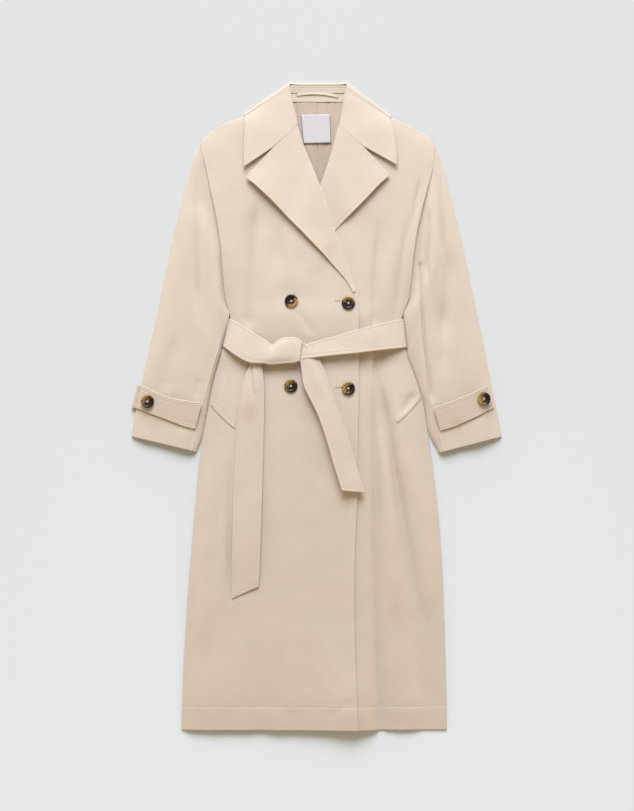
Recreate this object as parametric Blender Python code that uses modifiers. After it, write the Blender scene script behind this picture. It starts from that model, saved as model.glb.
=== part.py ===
"""Double-breasted trench coat laid flat on its back, front up, belt tied.

Frame: +X towards the wearer's left, +Y towards the collar, +Z up; the floor is z = 0.
Right and left in the names are the wearer's.  Every size below is in millimetres.
Each piece of cloth is a surface through a grid of points, given its wall by Solidify.
"""
import bmesh
import bpy
import numpy as np

MM = 0.001

# ---- driving dimensions -------------------------------------------------------------------
CLOTH = 1.4           # shell cloth with the lining pressed to it
COLLAR_CLOTH = 1.8    # two layers and interlining
LAPEL_CLOTH = 1.6
BELT_CLOTH = 2.4      # four layers, stitched
STRAP_CLOTH = 2.0
WELT_CLOTH = 1.2
LINING_CLOTH = 1.0
LABEL_CLOTH = 0.7
GAP = 0.3             # air between two pieces that are sewn or lie together
LAID_GAP = 0.7        # air under a piece laid on the curved fronts
SEAM_GAP = 0.6        # armhole seam, seen from above, before the sloped edges close it

BUTTON_RADIUS = 12.5
BUTTON_HEIGHT = 3.8
BUTTON_STEPS = 20

# Fronts and back, hem to neck.  level: y of the row; the other x columns: side seam (armhole seam
# from 172 to 491, shoulder line above), edge or roll line of each front; heights of the fronts'
# underside above the back's underside, at the side and midway.
BODY_COLUMNS = ("level", "right_side", "left_side", "over_edge", "under_edge",
                "side_height", "mid_height")
BODY_ROWS = (
    (-607.7, -255.0, 245.0, 78.0, -69.0, 1.7, 13.0),
    (-545.0, -252.5, 244.0, 75.0, -69.0, 1.7, 12.0),
    (-480.0, -250.0, 242.0, 73.0, -69.0, 1.7, 11.0),
    (-415.0, -246.0, 240.0, 72.0, -69.0, 1.7, 10.5),
    (-350.0, -242.0, 237.5, 72.0, -69.0, 1.7, 10.0),
    (-290.0, -237.0, 235.0, 72.5, -69.0, 1.7, 10.0),
    (-230.0, -232.0, 230.5, 75.0, -69.0, 1.7, 10.0),
    (-170.0, -226.5, 225.0, 77.0, -69.0, 1.7, 10.0),
    (-110.0, -221.0, 217.5, 77.0, -69.0, 1.7, 10.0),
    (-55.0, -214.0, 209.5, 78.0, -69.0, 1.7, 10.0),
    (0.0, -203.5, 201.5, 78.0, -69.0, 1.7, 10.0),
    (35.0, -196.0, 191.5, 78.0, -69.0, 1.7, 10.0),
    (66.0, -189.0, 181.0, 78.0, -69.0, 1.7, 10.0),
    (106.0, -174.0, 165.0, 78.0, -69.0, 1.7, 10.0),
    (136.0, -166.5, 160.5, 78.0, -69.0, 1.7, 10.0),
    (168.0, -159.0, 158.0, 78.0, -69.0, 1.7, 10.0),
    (208.0, -172.5, 173.5, 75.0, -66.0, 4.0, 12.0),
    (256.0, -177.0, 179.0, 58.0, -51.0, 7.0, 13.5),
    (293.0, -179.0, 183.0, 46.0, -36.0, 8.0, 14.0),
    (330.0, -184.0, 188.0, 33.0, -23.0, 8.0, 14.0),
    (368.0, -191.0, 197.0, 21.0, -10.0, 7.5, 14.0),
    (406.0, -200.0, 207.0, 8.0, 4.0, 6.5, 13.0),
    (444.0, -207.5, 217.5, -7.0, 18.0, 5.0, 12.0),
    (470.0, -214.0, 221.5, -17.5, 26.0, 4.2, 11.0),
    (491.0, -221.0, 223.0, -26.0, 32.5, 3.0, 9.5),
    (509.5, -206.0, 205.0, -31.5, 37.0, 1.7, 8.5),
    (524.5, -182.0, 175.0, -35.5, 41.0, 1.7, 7.5),
    (536.0, -159.0, 150.0, -38.5, 44.0, 1.7, 7.0),
    (543.0, -135.5, 131.0, -40.5, 45.0, 1.7, 6.5),
    (551.5, -120.0, 116.0, -42.5, 46.5, 1.7, 6.0),
    (564.0, -99.0, 97.0, -45.5, 48.5, 2.2, 5.5),
    (577.0, -77.0, 77.0, -48.0, 51.0, 3.5, 5.5),
    (587.0, -61.0, 61.0, -50.0, 52.0, 3.5, 4.4),
)
ARMHOLE_LOW = 172.0
ARMHOLE_TOP = 491.0
SIDE_CELLS = 12         # grid cells from a side seam to the lap of the two fronts
LAP_CELLS = 6           # grid cells across the lap
LAP_LEAST = 60.0        # narrowest strip those six cells are drawn over
LAP_RAMP = 40.0         # over this width one layer climbs onto another
LAP_OFF = 4.0           # and it is level again this far off the edge it climbs onto
LAP_GAP = 0.5           # air between the two fronts where they lap

# Soft folds of the fronts and sleeves, as ridges (depth > 0) and valleys (depth < 0).
FOLD_COLUMNS = ("x_top", "y_top", "x_low", "y_low", "bow", "half_width", "depth")
FOLD_ROWS = (
    (112.0, 78.0, 196.0, -560.0, 22.0, 19.0, -4.0),      # long valley from the belt, left skirt
    (104.0, -60.0, 132.0, -640.0, 0.0, 17.0, -2.5),      # valley beside the front edge
    (150.0, 60.0, 222.0, -520.0, 18.0, 22.0, 2.5),       # ridge between them and the side
    (-206.0, -80.0, -214.0, -560.0, 6.0, 20.0, 2.0),     # ridge near the right side
    (-172.0, -20.0, -180.0, -600.0, 4.0, 22.0, -2.0),
    (125.0, 420.0, 108.0, 185.0, 0.0, 18.0, -2.0),       # chest folds running to the belt
    (160.0, 340.0, 152.0, 180.0, 0.0, 15.0, -2.0),
    (-118.0, 420.0, -120.0, 180.0, 0.0, 18.0, -1.6),
    (62.0, -420.0, 70.0, -900.0, 0.0, 52.0, 6.0),        # the hem lifts near the front edge
    (-120.0, -470.0, -128.0, -820.0, 0.0, 50.0, -3.0),
    (-222.0, 470.0, -224.0, 130.0, 0.0, 12.0, -2.4),     # right sleeve
    (-262.0, 330.0, -296.0, -20.0, 0.0, 18.0, 2.0),
    (-196.0, 380.0, -188.0, 240.0, 0.0, 14.0, -2.0),
    (229.0, 440.0, 238.0, 100.0, 0.0, 14.0, -2.4),       # left sleeve
    (262.0, 330.0, 296.0, -20.0, 0.0, 18.0, 2.0),
    (196.0, 380.0, 192.0, 250.0, 0.0, 14.0, -2.0),
)

# Sleeves, armhole to cuff: the two folded edges, the thickness there and the crown between them.
SLEEVE_COLUMNS = ("ring", "outer_x", "outer_y", "inner_x", "inner_y", "edge", "crown")
SLEEVE_RIGHT_ROWS = (
    (0, -222.0, 491.0, -164.5, 172.0, 4.4, 4.0),
    (1, -236.0, 460.0, -168.5, 160.0, 4.8, 9.0),
    (2, -249.0, 413.0, -173.0, 147.0, 4.8, 11.0),
    (3, -261.0, 367.0, -177.5, 130.0, 5.0, 12.0),
    (4, -274.0, 313.0, -182.5, 108.0, 5.0, 12.0),
    (5, -287.0, 254.0, -189.5, 80.0, 5.0, 12.0),
    (6, -299.0, 193.0, -196.5, 50.0, 5.0, 11.0),
    (7, -312.0, 134.0, -203.0, 19.0, 5.0, 11.0),
    (8, -323.0, 82.0, -209.0, -10.0, 5.0, 11.0),
    (9, -334.0, 28.0, -215.0, -38.0, 5.0, 11.0),
    (10, -342.0, -18.0, -220.5, -62.0, 5.0, 11.0),
    (11, -347.5, -57.0, -225.5, -86.0, 5.0, 12.0),
)
SLEEVE_LEFT_ROWS = (
    (0, 224.0, 491.0, 162.0, 172.0, 4.4, 4.0),
    (1, 237.5, 460.0, 166.0, 158.0, 4.8, 9.0),
    (2, 248.0, 414.0, 168.0, 145.0, 4.8, 11.0),
    (3, 258.0, 369.0, 170.5, 128.0, 5.0, 12.0),
    (4, 270.0, 318.0, 174.5, 108.0, 5.0, 12.0),
    (5, 283.0, 260.0, 181.5, 80.0, 5.0, 12.0),
    (6, 295.0, 203.0, 190.5, 50.0, 5.0, 11.0),
    (7, 307.0, 146.0, 200.0, 18.0, 5.0, 11.0),
    (8, 318.0, 92.0, 208.0, -14.0, 5.0, 11.0),
    (9, 329.0, 38.0, 215.0, -44.0, 5.0, 11.0),
    (10, 339.0, -12.0, 222.5, -68.0, 5.0, 11.0),
    (11, 347.5, -57.0, 229.5, -88.0, 5.0, 12.0),
)
SLEEVE_EDGE_CELLS = 4   # round each folded edge
SHOULDER_GAP = 1.4      # further off at the shoulder point, where the wall turns in
SHOULDER_SHARE = 0.147  # over this share of the armhole
ARMHOLE_RINGS = 4.0     # the armhole's curve and height die out over so many rings

# Lapels, gorge to break point: level on the roll line, and the outer edge.
LAPEL_COLUMNS = ("row", "roll_y", "outer_x", "outer_y")
LAPEL_RIGHT_ROWS = (
    (0, 526.5, -133.0, 431.0),
    (1, 491.0, -117.0, 415.0),
    (2, 462.0, -99.0, 398.0),
    (3, 437.0, -80.0, 380.0),
    (4, 412.0, -58.0, 356.0),
    (5, 378.0, -33.0, 331.0),
    (6, 342.0, -9.0, 306.0),
    (7, 310.0, 14.0, 282.0),
    (8, 271.0, 34.0, 259.0),
    (9, 237.0, 55.0, 235.0),
    (10, 220.0, 65.0, 220.0),
)
LAPEL_LEFT_ROWS = (
    (0, 526.5, 138.5, 435.5),
    (1, 498.0, 122.0, 419.0),
    (2, 462.0, 104.0, 400.0),
    (3, 437.0, 86.0, 381.0),
    (4, 412.0, 68.0, 363.0),
    (5, 387.0, 51.0, 346.0),
    (6, 359.0, 34.0, 328.0),
    (7, 316.0, 10.0, 301.0),
    (8, 271.0, -20.0, 263.0),
    (9, 245.0, -38.0, 243.0),
)
NOTCH_RIGHT = (-81.0, 485.0)
NOTCH_LEFT = (87.5, 486.0)
LAPEL_CELLS = 6
LAPEL_RISE = 4.5        # the lapel's outer edge stands off the front by this much
ROLL_RISE = 1.2         # lapel and collar arch up by so much midway
LAPEL_FREE = 6.0        # the left lapel stands off only this far clear of the right front
LAPEL_FULL_WIDTH = 60.0 # a narrower lapel stands off less
NOTCH_GAP = 0.8         # the collar's end stands off the lapel by this much along the gorge
NOTCH_ROWS = 3.0        # the bend of the gorge seam dies out over so many rows

# Collar from its right end round the back neck to its left end: roll line, outer edge, the turn
# round the shoulder (90: on the fronts, -90: under the back) and the direction that turn faces.
COLLAR_COLUMNS = ("row", "roll_x", "roll_y", "outer_x", "outer_y", "turn", "face_x", "face_y",
                  "roll_radius")
COLLAR_ROWS = (
    (0, -35.8, 527.3, -139.5, 448.5, 90.0, 0.0, 1.0, 1.85),
    (1, -38.5, 545.0, -137.0, 481.0, 90.0, 0.0, 1.0, 1.85),
    (2, -44.0, 563.0, -135.5, 508.0, 90.0, 0.0, 1.0, 1.85),
    (3, -47.5, 580.0, -134.5, 528.0, 90.0, 0.0, 1.0, 1.85),
    (4, -49.5, 594.0, -134.5, 538.0, 90.0, -0.58, 0.82, 2.8),
    (5, -50.6, 602.4, -134.9, 544.0, 90.0, -0.58, 0.82, 2.8),
    (6, -50.2, 603.1, -134.9, 544.0, 45.0, -0.58, 0.82, 2.8),
    (7, -49.3, 603.6, -134.9, 544.0, 0.0, -0.58, 0.82, 2.8),
    (8, -48.2, 603.7, -134.9, 544.0, -45.0, -0.58, 0.82, 2.8),
    (9, -46.8, 603.4, -134.9, 544.0, -90.0, -0.58, 0.82, 2.8),
    (10, -42.0, 602.6, -112.0, 533.0, -90.0, -0.3, 0.95, 2.8),
    (11, -24.0, 602.2, -62.0, 523.0, -90.0, 0.0, 1.0, 2.8),
    (12, 2.5, 602.2, 2.5, 517.0, -90.0, 0.0, 1.0, 2.8),
    (13, 29.0, 602.2, 67.0, 523.0, -90.0, 0.0, 1.0, 2.8),
    (14, 47.0, 602.6, 117.0, 532.0, -90.0, 0.3, 0.95, 2.8),
    (15, 51.7, 603.4, 137.4, 540.4, -90.0, 0.61, 0.79, 2.8),
    (16, 53.1, 603.7, 137.4, 540.4, -45.0, 0.61, 0.79, 2.8),
    (17, 54.2, 603.6, 137.4, 540.4, 0.0, 0.61, 0.79, 2.8),
    (18, 55.1, 603.1, 137.4, 540.4, 45.0, 0.61, 0.79, 2.8),
    (19, 55.5, 602.4, 137.4, 540.4, 90.0, 0.61, 0.79, 2.8),
    (20, 54.5, 594.0, 138.0, 534.0, 90.0, 0.61, 0.79, 2.8),
    (21, 53.0, 580.0, 142.0, 524.0, 90.0, 0.0, 1.0, 1.85),
    (22, 51.0, 563.0, 146.0, 505.0, 90.0, 0.0, 1.0, 1.85),
    (23, 48.0, 545.0, 149.0, 481.0, 90.0, 0.0, 1.0, 1.85),
    (24, 41.6, 527.3, 152.0, 453.0, 90.0, 0.0, 1.0, 1.85),
)
COLLAR_CELLS = 6
COLLAR_RISE = 4.0
COLLAR_LEAF_ROWS = 5.0        # rows from the collar's end over which its edge settles down
COLLAR_BEND_SHARES = (1.0, 0.6, 0.25)   # the gorge's corner dies out over the first rows
COLLAR_ROLL = (0.0, 0.5, 3.0) # where the roll's columns lie on the rows that turn
COLLAR_BACK_EDGE = 517.0      # free edge of the collar under the back, at the centre
COLLAR_BACK_BEND = 30.0       # and how far it climbs by
COLLAR_BACK_REACH = 135.0     # this far out

# Belt, from the knot round the wearer's right side and the back to the knot again.
BELT_COLUMNS = ("row", "top_x", "top_y", "low_x", "low_y", "turn", "lift")
BELT_ROWS = (
    (0, -82.0, 112.5, -97.5, 79.0, 90.0, 3.6),
    (1, -94.0, 121.0, -109.0, 79.0, 90.0, 3.6),
    (2, -110.0, 132.0, -125.0, 80.0, 90.0, 3.4),
    (3, -127.0, 143.0, -141.0, 87.0, 90.0, 2.0),
    (4, -143.0, 153.5, -157.0, 98.0, 90.0, 1.2),
    (5, -155.0, 160.0, -167.5, 106.0, 90.0, 0.6),
    (6, -160.8, 163.0, -173.3, 110.5, 90.0, 0.0),
    (7, -160.8, 163.0, -173.3, 110.5, 45.0, 0.0),
    (8, -160.8, 163.0, -173.3, 110.5, 0.0, 0.0),
    (9, -160.8, 163.0, -173.3, 110.5, -45.0, 0.0),
    (10, -160.8, 163.0, -173.3, 110.5, -90.0, 0.0),
    (11, -90.0, 163.0, -90.0, 110.0, -90.0, 0.0),
    (12, 0.0, 163.0, 0.0, 109.5, -90.0, 0.0),
    (13, 90.0, 163.0, 90.0, 109.5, -90.0, 0.0),
    (14, 159.3, 163.0, 165.3, 109.5, -90.0, 0.0),
    (15, 159.3, 163.0, 165.3, 109.5, -45.0, 0.0),
    (16, 159.3, 163.0, 165.3, 109.5, 0.0, 0.0),
    (17, 159.3, 163.0, 165.3, 109.5, 45.0, 0.0),
    (18, 159.3, 163.0, 165.3, 109.5, 90.0, 0.0),
    (19, 140.0, 160.5, 144.0, 107.0, 90.0, 0.8),
    (20, 117.0, 156.0, 119.0, 104.0, 90.0, 1.2),
    (21, 97.0, 151.0, 98.0, 101.5, 90.0, 1.2),
    (22, 76.0, 145.5, 76.0, 98.5, 90.0, 1.2),
    (23, 48.0, 137.5, 48.0, 96.0, 90.0, 1.2),
    (24, 20.0, 129.0, 20.0, 93.0, 90.0, 1.2),
    (25, -6.0, 121.5, -6.0, 90.0, 90.0, 1.2),
    (26, -27.0, 115.0, -27.0, 87.5, 90.0, 1.2),
)
BELT_CELLS = 4
BELT_BACK_BAND = (106.0, 168.0)   # where the back panel lies on the belt
BELT_BACK_RAMP = 40.0
BELT_FACE = {-1: (-0.97, 0.24), 1: (0.995, 0.1)}   # way the belt faces as it turns each side

# Free ends of the belt: their two edges, how far they stand off, and the pinch near the knot.
END_COLUMNS = ("row", "right_x", "right_y", "left_x", "left_y", "lift", "pinch")
END_LONG_ROWS = (
    (0, -121.0, 88.0, -106.0, 88.0, 0.0, 0.0),
    (1, -125.0, 77.0, -104.0, 77.0, 0.0, 0.0),
    (2, -133.0, 60.0, -101.0, 60.0, 0.5, 3.5),
    (3, -141.0, 38.0, -98.0, 38.0, 0.8, 4.0),
    (4, -145.5, 11.0, -97.0, 11.0, 0.8, 2.0),
    (5, -149.0, -30.0, -97.5, -30.0, 0.5, 0.5),
    (6, -152.0, -75.0, -98.5, -75.0, 0.3, 0.0),
    (7, -155.0, -135.0, -100.5, -135.0, 0.3, 0.0),
    (8, -157.0, -196.0, -102.0, -196.0, 0.4, 0.0),
    (9, -158.5, -265.0, -104.5, -262.0, 0.8, 0.0),
    (10, -159.0, -320.0, -106.0, -308.0, 1.4, 0.0),
    (11, -159.0, -363.0, -107.0, -338.0, 2.0, 0.0),
)
END_SHORT_ROWS = (
    (0, -27.3, 104.0, -20.5, 116.0, 5.2, 0.0),
    (1, -27.3, 91.0, -9.0, 105.0, 5.4, 0.6),
    (2, -28.0, 74.0, 4.0, 90.0, 5.2, 2.0),
    (3, -26.0, 56.0, 14.0, 67.0, 3.6, 3.0),
    (4, -23.5, 37.0, 22.0, 45.0, 2.0, 2.0),
    (5, -11.0, 9.0, 32.0, 13.0, 1.0, 1.0),
    (6, 3.0, -19.0, 44.0, -19.0, 1.0, 0.4),
    (7, 16.0, -56.0, 57.0, -54.0, 1.8, 0.0),
    (8, 29.0, -102.0, 71.0, -102.0, 4.0, 0.0),
    (9, 38.0, -131.0, 80.5, -132.0, 6.0, 0.0),
    (10, 46.5, -158.0, 89.0, -161.5, 8.0, 0.0),
)
END_CELLS = 4

# Knot: its outline seen from above, its sections from the cloth up, and the creases between the
# turns of the belt in it, as their two ends, half width and depth.
KNOT_OUTLINE = ((-28.0, 100.0), (-29.5, 114.0), (-37.0, 126.5), (-51.0, 127.5), (-64.0, 124.5),
                (-74.0, 118.5), (-81.0, 110.5), (-88.0, 99.0), (-94.0, 88.0), (-95.0, 79.8),
                (-80.0, 79.5), (-62.0, 81.5), (-46.0, 82.5), (-33.5, 85.5))
KNOT_SECTIONS = ((0.80, 0.0), (0.96, 2.0), (1.0, 6.0), (0.93, 10.5), (0.80, 13.4), (0.58, 15.2),
                 (0.32, 15.7), (0.12, 15.7))
KNOT_CREASES = ((-53.0, 115.0, -37.0, 84.0, 7.0, -4.5), (-34.0, 110.0, -22.0, 118.0, 4.0, -4.0),
                (-88.0, 106.0, -86.0, 82.0, 5.0, -1.5))
KNOT_CREASED_FROM = 2   # the lower sections keep the plain outline

# Cuff straps: outer edge of the sleeve to the sleeve's seam, their upper and lower edge.
STRAP_COLUMNS = ("column", "top_x", "top_y", "low_x", "low_y")
STRAP_RIGHT_ROWS = (
    (0, -330.0, 39.5, -340.7, -3.5),
    (1, -313.0, 33.0, -326.0, -8.5),
    (2, -295.0, 23.0, -306.0, -17.0),
    (3, -276.0, 15.5, -285.0, -25.0),
    (4, -257.0, 10.5, -265.0, -33.0),
    (5, -235.0, 7.5, -246.0, -39.5),
    (6, -214.5, 7.0, -227.5, -42.5),
)
STRAP_LEFT_ROWS = (
    (0, 326.5, 39.5, 335.0, -2.5),
    (1, 307.0, 33.0, 316.0, -11.0),
    (2, 289.0, 24.0, 298.0, -21.0),
    (3, 270.0, 13.5, 281.0, -30.0),
    (4, 252.0, 6.0, 264.0, -38.5),
    (5, 234.0, 0.5, 247.0, -44.0),
    (6, 218.5, -1.0, 231.5, -47.0),
)
STRAP_CELLS = 3
STRAP_AIR = 1.1
STRAP_END_START = 2.1         # the strap turns round the sleeve's fold this far off its first row
STRAP_END_REACH = 2.9         # and bulges out by so much more
STRAP_END_LOW = 0.6
STRAP_TURNS = (60.0, 20.0, -20.0)

# Pocket welts: one narrow strip on each front, from near the side seam inwards and down.
WELTS = {
    "pocket_welt_right": ((-199.0, 2.0), (-153.0, -42.5), (-153.5, -34.5), (-191.0, 5.0)),
    "pocket_welt_left": ((196.0, 15.5), (151.0, -31.5), (147.0, -24.0), (190.0, 21.0)),
}
WELT_CELLS = 6
WELT_LIFT = 0.2

# Inside the neck.
FACING_LOW = 570.0
FACING_TOP = 586.5
FACING_REACH = 55.0
FACING_MIDDLE = 1.5
STAND_LOW = 587.3
STAND_TOP = 601.6
STAND_RIGHT = -47.0
STAND_LEFT = 52.0
STAND_LOW_HEIGHT = 4.1
STAND_TOP_HEIGHT = 6.9
LINING_LOW = 402.0
LINING_HALF_WIDTHS = (26.0, 58.0)     # at its lower and upper end
PLEAT_RISE = 1.2
PLEAT_HALF_WIDTH = 6.0
LABEL_CORNERS = ((-30.0, 546.5), (24.5, 548.0), (27.0, 493.5), (-25.0, 492.0))
LABEL_LIFT = 1.6
LOOP_ENDS = ((-37.0, 577.5), (40.0, 574.0))
LOOP_WIDTH = 6.0
LOOP_ARCH = 6.0
LOOP_LIFT = 1.5
LOOP_AIR = 0.1

FRONT_BUTTONS = {"button_upper_right": (-47.5, 196.0), "button_upper_left": (59.0, 192.5),
                 "button_lower_right": (-48.5, 37.5), "button_lower_left": (59.0, 33.0)}
CUFF_BUTTON_AIR = 0.6         # the strap's air, settled where the button is sewn through it
CUFF_BUTTONS = {"cuff_button_right": (-316.5, 8.5), "cuff_button_left": (312.5, 13.5)}

# name: base colour, roughness, metallic
MATERIALS = {"shell": ((0.74, 0.60, 0.47, 1.0), 0.85, 0.0),
             "lining": ((0.47, 0.37, 0.30, 1.0), 0.5, 0.0),
             "label": ((0.86, 0.86, 0.9, 1.0), 0.6, 0.0),
             "button": ((0.05, 0.025, 0.01, 1.0), 0.15, 0.0)}


# ---- reading the tables -------------------------------------------------------------------
class Table:
    """Rows of sizes with named columns, read as smooth curves against the first column."""

    def __init__(self, columns, rows, smooth=True):
        data = np.array(rows, float)
        self.keys = data[:, 0]
        self.values = {name: data[:, i] for i, name in enumerate(columns)}
        self.smooth = smooth

    def __call__(self, name, at):
        keys, values = self.keys, self.values[name]
        at = np.clip(at, keys[0], keys[-1])
        if not self.smooth:
            return np.interp(at, keys, values)
        slopes = np.gradient(values, keys)
        i = np.clip(np.searchsorted(keys, at, side="right") - 1, 0, len(keys) - 2)
        span = keys[i + 1] - keys[i]
        t = (at - keys[i]) / span
        return ((2 * t ** 3 - 3 * t ** 2 + 1) * values[i] + (t ** 3 - 2 * t ** 2 + t) * span * slopes[i]
                + (3 * t ** 2 - 2 * t ** 3) * values[i + 1] + (t ** 3 - t ** 2) * span * slopes[i + 1])


BODY = Table(BODY_COLUMNS, BODY_ROWS, smooth=False)
FOLDS = [dict(zip(FOLD_COLUMNS, row)) for row in FOLD_ROWS]
SLEEVES = {-1: Table(SLEEVE_COLUMNS, SLEEVE_RIGHT_ROWS), 1: Table(SLEEVE_COLUMNS, SLEEVE_LEFT_ROWS)}


def step(x, start, width):
    """Soft step from 0 at start to 1 at start + width."""
    t = np.clip((x - start) / width, 0.0, 1.0)
    return t * t * (3.0 - 2.0 * t)


# ---- heights --------------------------------------------------------------------------------
def back_lift(x, y):
    """Underside of the back panel: on the floor, but over the belt and the collar's fall."""
    low, high = BELT_BACK_BAND
    over_belt = np.interp(y, (low - BELT_BACK_RAMP, low, high, high + BELT_BACK_RAMP), (0, 1, 1, 0))
    fall_edge = COLLAR_BACK_EDGE + COLLAR_BACK_BEND * (x / COLLAR_BACK_REACH) ** 2
    over_collar = step(y - fall_edge, -70.0, 62.0)
    return (BELT_CLOTH + GAP) * over_belt + (COLLAR_CLOTH + GAP) * over_collar


def folds(x, y):
    """Sum of the soft ridges and valleys at a point."""
    total = 0.0
    for fold in FOLDS:
        along = (fold["y_top"] - y) / (fold["y_top"] - fold["y_low"])
        centre = fold["x_top"] + (fold["x_low"] - fold["x_top"]) * along
        centre = centre - fold["bow"] * 4.0 * along * (1.0 - along)
        fade = step(along, 0.0, 0.3) * (1.0 - step(along, 0.7, 0.3))
        total = total + fold["depth"] * fade * np.exp(-((x - centre) / fold["half_width"]) ** 2)
    return total


def crown(across):
    """0 at both sides, 1 over the middle, rounded like cloth over air."""
    return 1.0 - (2.0 * np.clip(across, 0.0, 1.0) - 1.0) ** 4


def front_height(x, y):
    """Underside of the lower of the two fronts."""
    right, left = BODY("right_side", y), BODY("left_side", y)
    swell = crown((x - right) / (left - right))
    side, middle = BODY("side_height", y), BODY("mid_height", y)
    return back_lift(x, y) + side + (middle - side) * swell + folds(x, y) * swell


def lapel_left_outer(y):
    """x of the left lapel's outer edge at a level."""
    rows = np.array(LAPEL_LEFT_ROWS)[::-1]
    return np.interp(y, rows[:, 3], rows[:, 2])


def over_lap(x, y):
    """How far the right front is lifted by the left front and its lapel under it."""
    on_front = step(x, BODY("under_edge", y) - LAP_RAMP - LAP_OFF, LAP_RAMP)
    off_lapel = step(x, lapel_left_outer(y) + LAP_OFF, LAP_RAMP)
    lapel_there = step(y, LAPEL_LEFT_ROWS[-1][3] - LAP_RAMP - LAP_OFF, LAP_RAMP)
    lapel = (LAPEL_CLOTH + LAID_GAP + GAP) * on_front * (1.0 - off_lapel) * lapel_there
    return (CLOTH + LAP_GAP) * on_front + lapel


def on_fronts(x, y):
    """Underside of a piece laid on the fronts, wherever it lies."""
    beside = step(BODY("over_edge", y) + LAP_RAMP + LAP_OFF - x, 0.0, LAP_RAMP)
    return front_height(x, y) + over_lap(x, y) * beside + CLOTH + LAID_GAP


# ---- making objects -------------------------------------------------------------------------
def clear_scene():
    for scene_object in list(bpy.data.objects):
        bpy.data.objects.remove(scene_object, do_unlink=True)


def make_material(name):
    colour, roughness, metallic = MATERIALS[name]
    material = bpy.data.materials.new(name)
    material.use_nodes = True
    shader = material.node_tree.nodes["Principled BSDF"]
    shader.inputs["Base Color"].default_value = colour
    shader.inputs["Roughness"].default_value = roughness
    shader.inputs["Metallic"].default_value = metallic
    material.diffuse_color = colour
    return material


def own_material(piece, kind):
    material = make_material(kind)
    material.name = f"{kind}_{piece.name}"
    piece.data.materials.append(material)


def add_object(name, mesh, kind):
    piece = bpy.data.objects.new(name, mesh)
    coat.objects.link(piece)
    own_material(piece, kind)
    return piece


def grid_mesh(name, grid, closed=False):
    """Open surface through a grid of points, rows by columns; closed joins last column to first."""
    rows, columns = grid.shape[:2]
    builder = bmesh.new()
    points = [[builder.verts.new(grid[i, j] * MM) for j in range(columns)] for i in range(rows)]
    last = columns if closed else columns - 1
    for i in range(rows - 1):
        for j in range(last):
            k = (j + 1) % columns
            builder.faces.new((points[i][j], points[i][k], points[i + 1][k], points[i + 1][j]))
    mesh = bpy.data.meshes.new(name)
    builder.to_mesh(mesh)
    builder.free()
    return mesh


def faces_up(grid):
    """Whether the surface through a grid faces up at its first corner."""
    along, down = grid[0, 1] - grid[0, 0], grid[1, 0] - grid[0, 0]
    return along[0] * down[1] - along[1] * down[0] > 0.0


def cloth(name, grid, wall, kind="shell"):
    """A piece of cloth: the grid is its inner face, and Solidify moves the outer face off it."""
    if not faces_up(grid):
        grid = grid[:, ::-1]
    return walled(name, grid_mesh(name, grid), wall, kind, outward=1.0)


def walled(name, mesh, wall, kind, outward):
    """Solidify a surface: outward 1 adds the wall on its outer side, -1 on its inner side."""
    piece = add_object(name, mesh, kind)
    solidify = piece.modifiers.new("wall", "SOLIDIFY")
    solidify.thickness = wall * MM
    solidify.offset = outward
    solidify.use_even_offset = True
    solidify.use_quality_normals = True
    piece.data.shade_smooth()
    return piece


def between(first, last, count):
    """Points from one to the other, count cells, as an array of shape (..., count + 1)."""
    t = np.linspace(0.0, 1.0, count + 1)
    return first[..., None] * (1.0 - t) + last[..., None] * t


def with_height(x, y, height):
    return np.stack([x, y, np.broadcast_to(height, x.shape)], axis=-1)


# ---- body -----------------------------------------------------------------------------------
def body_levels():
    return np.array([row[0] for row in BODY_ROWS])


def spread(count):
    """Fractions 0 to 1, closer together near 0, where the cloth rounds down to its seam."""
    t = np.linspace(0.0, 1.0, count + 1)
    return 0.55 * t + 0.45 * t ** 2


def make_back():
    levels = body_levels()
    x = between(BODY("right_side", levels), BODY("left_side", levels), 10)
    y = np.repeat(levels[:, None], x.shape[1], axis=1)
    cloth("back", with_height(x, y, back_lift(x, y)), CLOTH)


def make_fronts():
    levels = body_levels()
    right, left = BODY("right_side", levels), BODY("left_side", levels)
    over, under = BODY("over_edge", levels), BODY("under_edge", levels)
    lap_start = np.minimum(under, over - LAP_LEAST)
    lap_start = np.maximum(lap_start, right + 0.45 * (over - right))
    lap_end = np.maximum(over, under + LAP_LEAST)
    lap_end = np.minimum(lap_end, left - 0.45 * (left - under))
    near_side = spread(SIDE_CELLS)
    x = right[:, None] + (lap_start - right)[:, None] * near_side
    x = np.hstack([x[:, :-1], between(lap_start, over, LAP_CELLS)])
    y = np.repeat(levels[:, None], x.shape[1], axis=1)
    cloth("front_right", with_height(x, y, front_height(x, y) + over_lap(x, y)), CLOTH)
    x = left[:, None] + (lap_end - left)[:, None] * near_side
    x = np.hstack([between(under, lap_end, LAP_CELLS)[:, :-1], x[:, ::-1]])
    y = np.repeat(levels[:, None], x.shape[1], axis=1)
    cloth("front_left", with_height(x, y, front_height(x, y)), CLOTH)


# ---- sleeves --------------------------------------------------------------------------------
def armhole_shares():
    """Where the fronts' rows meet the armhole seam, as shares of its length from the shoulder."""
    levels = np.array([row[0] for row in BODY_ROWS if ARMHOLE_LOW < row[0] < ARMHOLE_TOP])
    levels = np.append(levels[::-1], 0.5 * (levels[0] + ARMHOLE_LOW))
    return (ARMHOLE_TOP - levels) / (ARMHOLE_TOP - ARMHOLE_LOW)


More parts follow.
